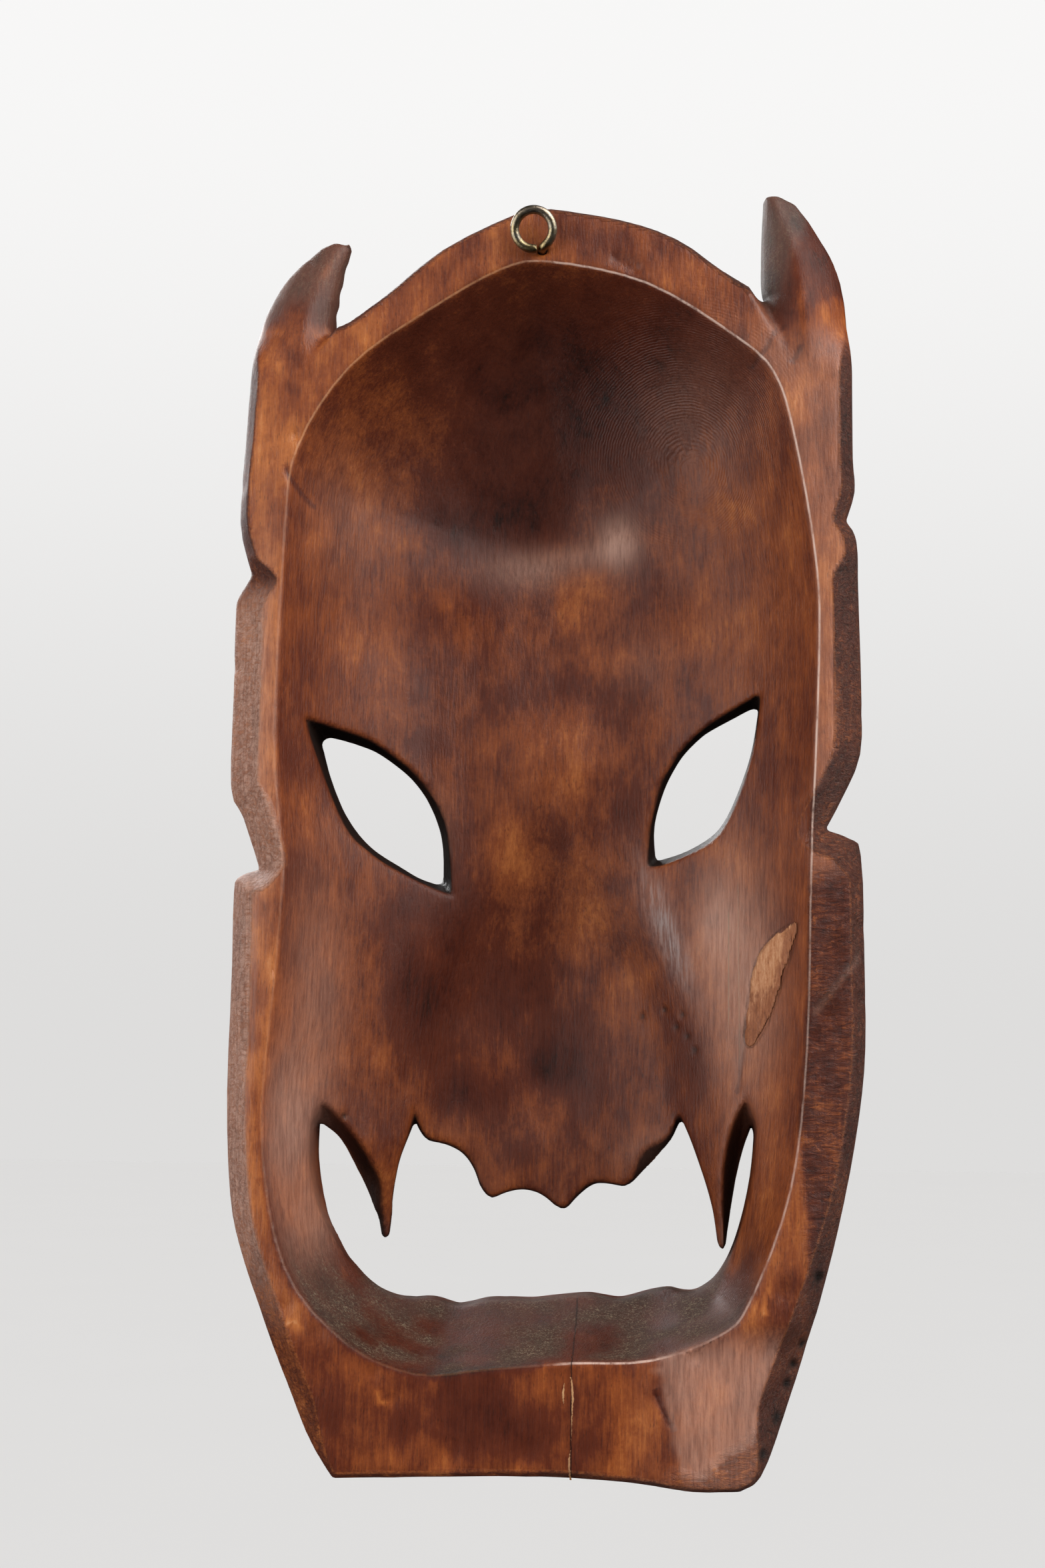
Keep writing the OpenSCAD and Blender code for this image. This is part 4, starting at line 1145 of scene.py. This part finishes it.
def swept(name, path, radii, sides=28, twist=None):
    """A closed tube of round sections along a path of points in mm, in the row frame."""
    path, radii = np.asarray(path, float), np.asarray(radii, float)
    ahead = np.gradient(path, axis=0)
    ahead /= np.linalg.norm(ahead, axis=1)[:, None]
    turn = np.arange(sides) * 2 * np.pi / sides
    across = np.cross(ahead[0], (0, 0, 1.0))
    points = []
    for k, (centre, forward) in enumerate(zip(path, ahead)):
        across -= forward * (across @ forward)
        across /= np.linalg.norm(across)
        beside = np.cross(forward, across)
        radius = radii[k] * (1 if twist is None else twist(k, turn))
        points.append(centre + np.outer(radius * np.cos(turn), across)
            + np.outer(radius * np.sin(turn), beside))
    faces = []
    for k in range(len(path) - 1):
        a, b = k * sides, (k + 1) * sides
        for n in range(sides):
            m = (n + 1) % sides
            faces += [(a + n, a + m, b + m), (a + n, b + m, b + n)]
    points.append(path[:1])
    points.append(path[-1:])
    first, last = len(path) * sides, len(path) * sides + 1
    for n in range(sides):
        m = (n + 1) % sides
        faces += [(first, m, n), (last, last - 1 - sides + n, last - 1 - sides + m)]
    return mesh_object(name, np.concatenate(points) * MM, np.array(faces))


def bezier(a, b, c, d, count):
    t = np.linspace(0, 1, count)[:, None]
    return (1 - t) ** 3 * a + 3 * (1 - t) ** 2 * t * b + 3 * (1 - t) * t**2 * c + t**3 * d


WIRE, RING_MEAN = 1.25, 5.3
LEAN_Y, LEAN_Z = math.sin(math.radians(20)), math.cos(math.radians(20))


def ring_point(angle):
    return RING_MEAN * np.stack([np.cos(angle), LEAN_Y * np.sin(angle), LEAN_Z * np.sin(angle)], -1)


FREE_END, BEND_START = math.radians(-99), math.radians(223)
angles = np.linspace(FREE_END, BEND_START, 110)
around = ring_point(angles)
leaving = around[-1] - around[-2]
leaving /= np.linalg.norm(leaving)
corner = np.array([SHANK[0], -1.9, SHANK[1]])
bend = bezier(around[-1], around[-1] + 1.7 * leaving, corner, corner + (0, -2.4, 0), 22)
SHANK_TIP_Y = -17.6
THREAD_PITCH = 1.5
drop = np.linspace(corner[1] - 2.4, SHANK_TIP_Y, 100)
shank = np.stack([np.full(100, SHANK[0]), drop, np.full(100, SHANK[1])], 1)
# The free end is cut square, with a small burr.
burr = around[0] - 0.02 * (around[1] - around[0]) / np.linalg.norm(around[1] - around[0])
path = np.concatenate([[burr], around, bend[1:], shank[1:]])
smithed = np.random.default_rng(7).uniform(-0.03, 0.03, 40)
radii = np.full(len(path), WIRE) + np.interp(np.arange(len(path)), np.linspace(0, len(path), 40), smithed)
radii[:4] = (0.9, 1.08, 1.16, 1.2)
in_wood = smooth(-path[:, 1], 4.4, 5.4)
radii = radii * (1 - in_wood) + 1.22 * in_wood
to_tip = np.clip((path[:, 1] - SHANK_TIP_Y) / 3.4, 0, 1)
radii *= np.where(path[:, 1] < -10, 0.16 + 0.84 * to_tip, 1)


def thread(k, turn):
    wave = 0.5 + 0.5 * np.cos(turn + 2 * np.pi * path[k, 1] / THREAD_PITCH)
    return 1 - in_wood[k] * 0.24 * (1 - wave**1.5)


screw = swept("screw_eye_wire", path, radii, twist=thread)


def worn_brass():
    g = Graph("worn_brass")
    cloud = g.noise((1, 1, 1), 0.42, 4, 0.6, 0.5)
    specks = g.noise((1, 1, 1), 2.2, 5, 0.7)
    grime = g.noise((1, 1, 1), 0.9, 6, 0.72, 0.8)
    _, y, z = g.separate(g.mm)
    colour = g.mix(g.step(cloud, 0.35, 0.65), (0.34, 0.27, 0.15), (0.25, 0.225, 0.18))
    colour = g.mix(g.times(g.step(z, 1.0, 5.0), 0.55), colour, (0.36, 0.29, 0.25))
    colour = g.mix(g.times(g.step(grime, 0.5, 0.68), 0.7), colour, (0.14, 0.105, 0.05))
    low = g.step(z, -2.0, -5.0)
    colour = g.mix(g.times(low, 0.45), colour, (0.24, 0.175, 0.07))
    colour = g.mix(g.times(g.step(y, -3.0, -3.9), 0.8), colour, (0.06, 0.04, 0.02))
    roughness = (
        g.add(0.34, g.about_zero(cloud, 0.1), g.about_zero(specks, 0.1),
        g.times(g.step(grime, 0.5, 0.7), 0.2))
    )
    pull = g.noise((1, 1, 1), 1.3, 3, 0.6)
    height = g.add(g.times(pull, 0.8), g.times(specks, 0.3), g.times(grime, 0.25))
    return g.finish(colour, roughness, g.bump(height, 0.45, 0.0003), Metallic=1.0)


screw.data.materials.append(worn_brass())

# ---------------------------------------------------------------- the glue in the chin's split

# Down the split: z, how far the ribbon is off its line, half its width, and how proud it stands, in mm.
SPLIT_X = -7.8
RIBBON = (
    (-152.2, 0.25, 0.14, -0.30), (-154.2, 0.45, 0.22, -0.10), (-155.6, 0.35, 0.30, 0.02),
    (-157.2, 0.0, 0.48, 0.14),
    (-159.5, -0.25, 0.62, 0.20), (-161.5, -0.40, 0.56, 0.20), (-163.6, -0.30, 0.44, 0.12),
    (-165.5, -0.20, 0.28, 0.08),
    (-168.0, -0.15, 0.24, 0.10), (-170.5, -0.10, 0.20, 0.06), (-172.6, 0.0, 0.16, -0.04),
    (-174.6, 0.15, 0.24, 0.04),
    (-176.4, 0.40, 0.50, 0.16), (-178.6, 0.45, 0.66, 0.22), (-180.6, 0.30, 0.56, 0.16),
    (-182.4, 0.15, 0.40, 0.06),
)
FLAKE = (
    (-157.6, 1.8, 0.16, -0.06), (-158.8, 2.0, 0.34, 0.12), (-160.2, 2.15, 0.66, 0.24),
    (-161.4, 2.1, 0.42, 0.16),
    (-162.8, 2.0, 0.16, -0.06),
)
GLUE_DEEP = 1.4


def ribbon(rows, seed, steps=5):
    """Points and faces of a closed strip with a ragged edge, pressed into the chin."""
    line = curve(rows, steps)
    rng = np.random.default_rng(seed)
    rag = rng.uniform(-0.09, 0.09, (len(line), 2))
    lift = rng.uniform(-0.05, 0.05, len(line))
    zz, off, half, proud = line.T
    half = np.maximum(0.5 * half, 0.09)
    columns = []
    for share, stand in ((-1.0, -0.12), (-0.55, 0.7), (0.0, 1.0), (0.55, 0.75), (1.0, -0.12)):
        x = SPLIT_X + off + share * half + rag[:, 0] * (share < 0) + rag[:, 1] * (share > 0)
        surface = sampled(whole_back, x, zz)
        columns.append(np.stack([x, surface - (0.6 * proud + lift) * stand, zz], 1))
    for share in (0.8, -0.8):
        x = SPLIT_X + off + share * half
        columns.append(np.stack([x, sampled(whole_back, x, zz) + GLUE_DEEP, zz], 1))
    points = np.stack(columns, 1).reshape(-1, 3)
    n = len(columns)
    faces = []
    for k in range(len(line) - 1):
        for j in range(n):
            m = (j + 1) % n
            a, b, c, d = k * n + j, k * n + m, (k + 1) * n + m, (k + 1) * n + j
            faces += [(a, b, c), (a, c, d)]
    last = (len(line) - 1) * n
    for j in range(1, n - 1):
        faces += [(0, j + 1, j), (last, last + j, last + j + 1)]
    return points, np.array(faces)


main_points, main_faces = ribbon(RIBBON, 61)
flake_points, flake_faces = ribbon(FLAKE, 62)
glue = mesh_object(
    "chin_glue_line",
    to_row(np.concatenate([main_points, flake_points])),
    np.concatenate([main_faces, flake_faces + len(main_points)]),
)


def old_glue():
    g = Graph("old_glue")
    fibre = g.noise((1.0, 1.0, 0.2), 1.6, 4, 0.65)
    specks = g.noise((1, 1, 1), 2.4, 5, 0.75)
    patches = g.noise((1, 1, 0.5), 0.3, 3, 0.6)
    tone = g.add(0.5, g.about_zero(fibre, 0.3), g.about_zero(specks, 0.22), g.about_zero(patches, 0.35))
    colour = g.ramp(
        tone,
        ((0.0, (0.035, 0.013, 0.006)), (0.3, (0.15, 0.062, 0.026)), (0.55, (0.30, 0.155, 0.066)),
        (1.0, (0.45, 0.28, 0.14))),
    )
    roughness = g.add(0.6, g.about_zero(specks, 0.14), g.about_zero(patches, 0.1))
    height = g.add(g.times(fibre, 0.6), g.times(specks, 0.5))
    return g.finish(colour, roughness, g.bump(height, 0.6, 0.0003), Specular_IOR_Level=0.3)


glue.data.materials.append(old_glue())

# ---------------------------------------------------------------- the filler in the cheek

FINE = 0.45
fill_x, fill_z = np.arange(-70.5, -51.5, FINE), np.arange(-73, -34, FINE)
FX, FZ = np.meshgrid(fill_x, fill_z, indexing="ij")
fill_patch = sampled(patch, FX, FZ)
fill_top = sampled(whole_back, FX, FZ) - 0.1
fill_top += 0.3 * noise(2.2, 5, 51, FX, FZ) + 0.16 * noise(0.9, 1.8, 52, FX, FZ)
for points, deep in (
    ([[-62.6, -44], [-60.5, -49], [-59.8, -55], [-58.6, -61]], 0.5),
    ([[-64.6, -48], [-63.2, -54], [-60.8, -59]], 0.45),
    ([[-58.4, -48.6], [-59.8, -50.2], [-61.5, -51.2]], 0.4),
):
    off, along_share = stroke(points, FX, FZ)
    fill_top += deep * near_line(off, 0.5) * (1 - along_share)
fill_floor = sampled(back, FX, FZ) + 0.3
fill_d = np.arange(fill_top.min() - 1.5, fill_floor.max() + 1.5, FINE)
depth = fill_d[None, :, None]
lean_top = steepness(sampled(whole_back, FX, FZ), FINE)[:, None, :]
solid = (depth - fill_top[:, None, :]) / lean_top
solid = np.minimum(solid, (fill_floor[:, None, :] - depth) / lean_top)
solid = np.minimum(solid, (fill_patch - 0.3 + 0.55 * noise(1.6, 3.4, 53, FX, FZ))[:, None, :] + 0 * depth)
filler_points, filler_quads = surface_net(solid, (fill_x, fill_d, fill_z))
filler = mesh_object("cheek_filler_chips", to_row(filler_points), filler_quads)
px, _, pz = positions(filler).T
# Pale and torn along its +X side, stained like the wood at its lower end and its -X side.
pale = smooth(px - (-64.4 - 0.26 * (pz + 40)), -3.2, 1.2) * smooth(pz, -66, -54)
pale = np.clip(pale + 0.5 * noise(2.4, 6, 54, px, pz), 0, 1)
pale *= 1 - 0.9 * bump(-57.6, -60.5, 1.8, 7, px, pz)
set_attribute(filler, "pale", pale)
set_attribute(filler, "patch", sampled(patch, px, pz))


def wood_filler():
    g = Graph("wood_filler")
    pale_share = g.attribute("pale")
    fibre = g.noise((1.0, 1.0, 0.16), 1.5, 4, 0.65, 0.4)
    specks = g.noise((1, 1, 1), 2.0, 5, 0.75)
    torn = g.noise((1, 1, 0.5), 0.5, 4, 0.6, 0.8)
    tone = g.add(0.5, g.about_zero(fibre, 0.45), g.about_zero(specks, 0.3), g.about_zero(torn, 0.35))
    light = (
        g.ramp(tone, ((0.15, (0.13, 0.040, 0.014)), (0.4, (0.31, 0.125, 0.052)), (0.85, (0.50, 0.28, 0.155))))
    )
    stained = (
        g.ramp(tone, ((0.1, (0.075, 0.020, 0.009)), (0.5, (0.215, 0.075, 0.031)), (0.9, (0.34, 0.15, 0.07))))
    )
    colour = (
        g.mix(g.step(g.add(pale_share, g.about_zero(torn, 0.4), g.about_zero(fibre, 0.3)), 0.2, 0.8),
        stained, light)
    )
    border = g.step(g.add(g.attribute("patch"), g.about_zero(torn, 1.2)), 0.9, 0.1)
    colour = g.mix(g.times(border, g.step(pale_share, 0.7, 0.2, 0.35, 0.15)), colour, (0.05, 0.016, 0.008))
    roughness = g.add(0.5, g.times(pale_share, 0.2), g.about_zero(specks, 0.12))
    height = g.add(g.times(fibre, 0.7), g.times(specks, 0.5), g.times(torn, 0.6))
    return g.finish(colour, roughness, g.bump(height, 0.6, 0.0004), Specular_IOR_Level=0.3)


filler.data.materials.append(wood_filler())

# ---------------------------------------------------------------- stage, lights and camera


def flat_material(name, colour, roughness):
    g = Graph(name)
    tone = g.noise((1, 1, 1), 0.004, 3)
    return g.finish(g.mix(tone, colour, tuple(c * 0.985 for c in colour)), roughness,
        g.bump(tone, 0.02, 0.001))


FLOOR_Z = -0.62
FLOOR_COLOUR, FLOOR_ROUGHNESS = (0.84, 0.835, 0.83), 0.9
WALL_LOW, WALL_HIGH = (0.73, 0.723, 0.716, 1), (0.935, 0.93, 0.925, 1)
WALL_FADE_END = 0.45
bpy.ops.mesh.primitive_plane_add(size=14, location=(0, 0, FLOOR_Z))
floor = bpy.context.object
floor.name = "stage_floor"
floor.visible_glossy = False
floor.data.materials.append(flat_material("pale_floor", FLOOR_COLOUR, FLOOR_ROUGHNESS))
floor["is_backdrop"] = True

scene = bpy.context.scene
world = bpy.data.worlds.new("studio")
scene.world = world
world.cycles_visibility.glossy = False
world.use_nodes = True
# The wall fades from the floor's brightness up to a lighter tone, so that no horizon shows.
sky = world.node_tree
direction = sky.nodes.new("ShaderNodeSeparateXYZ")
sky.links.new(sky.nodes.new("ShaderNodeTexCoord").outputs["Generated"], direction.inputs[0])
fade_up = sky.nodes.new("ShaderNodeValToRGB")
fade_up.color_ramp.interpolation = "EASE"
fade_up.color_ramp.elements[0].position, fade_up.color_ramp.elements[1].position = 0.0, WALL_FADE_END
fade_up.color_ramp.elements[0].color = WALL_LOW
fade_up.color_ramp.elements[1].color = WALL_HIGH
sky.links.new(direction.outputs["Z"], fade_up.inputs["Fac"])
sky.links.new(fade_up.outputs["Color"], sky.nodes["Background"].inputs["Color"])
scene.view_settings.view_transform = "Standard"


lit = bpy.data.collections.new("lit_pieces")


def area_light(name, place, target, size, energy, colour=(1, 1, 1)):
    data = bpy.data.lights.new(name, "AREA")
    data.shape = "RECTANGLE"
    data.size, data.size_y = size
    data.energy = energy
    data.color = colour
    lamp = bpy.data.objects.new(name, data)
    lamp.location = place
    lamp.rotation_mode = "QUATERNION"
    lamp.rotation_quaternion = (Vector(place) - Vector(target)).to_track_quat("Z", "Y")
    scene.collection.objects.link(lamp)
    # The lamps light the pieces only, so that the floor stays as pale as the wall.
    lamp.light_linking.receiver_collection = lit


MIDDLE = (0, -0.03, -0.16)
area_light("key", (-1.15, 0.6, 0.85), MIDDLE, (1.7, 1.7), 56, (1, 0.985, 0.965))
area_light("fill", (1.2, 0.6, -0.1), MIDDLE, (1.5, 1.7), 24, (1, 0.99, 0.98))
area_light("front_key", (0.8, -1.1, 0.6), MIDDLE, (0.8, 0.8), 16)

# The camera looks along -Y, then turns by these angles, in degrees.
CAMERA_PLACE = (-0.0389, 0.5816, -0.2272)
YAW, PITCH, ROLL = (math.radians(angle) for angle in (4, -7, 0.5))


def camera_axes():
    """The camera's right, up and backward directions."""
    roll = Vector((math.cos(ROLL), math.sin(ROLL)))
    right = Vector(
        (
            -roll.x * math.cos(YAW) + roll.y * math.sin(PITCH) * math.sin(YAW),
            -roll.x * math.sin(YAW) - roll.y * math.sin(PITCH) * math.cos(YAW),
            roll.y * math.cos(PITCH),
        )
    )
    up = Vector(
        (
            roll.y * math.cos(YAW) + roll.x * math.sin(PITCH) * math.sin(YAW),
            roll.y * math.sin(YAW) - roll.x * math.sin(PITCH) * math.cos(YAW),
            roll.x * math.cos(PITCH),
        )
    )
    return right, up, right.cross(up)


camera_data = bpy.data.cameras.new("camera")
camera_data.lens = 50
camera_data.sensor_width = 36
camera_data.clip_start, camera_data.clip_end = 0.01, 50
camera = bpy.data.objects.new("camera", camera_data)
camera.matrix_world = Matrix(camera_axes()).transposed().to_4x4()
camera.location = CAMERA_PLACE
scene.collection.objects.link(camera)
scene.camera = camera

# ---------------------------------------------------------------- hand over

for piece, node, slot in (
    (body, "mask_body", "carved_wood"),
    (screw, "screw_eye", "worn_brass"),
    (glue, "chin_split_glue", "old_glue"),
    (filler, "cheek_split_filler", "wood_filler"),
):
    lit.objects.link(piece)
    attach(piece, "root")
    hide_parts(node)

size = {"cad": [list(c) for c in CAD_BOX], "visual": [list(c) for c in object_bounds()]}
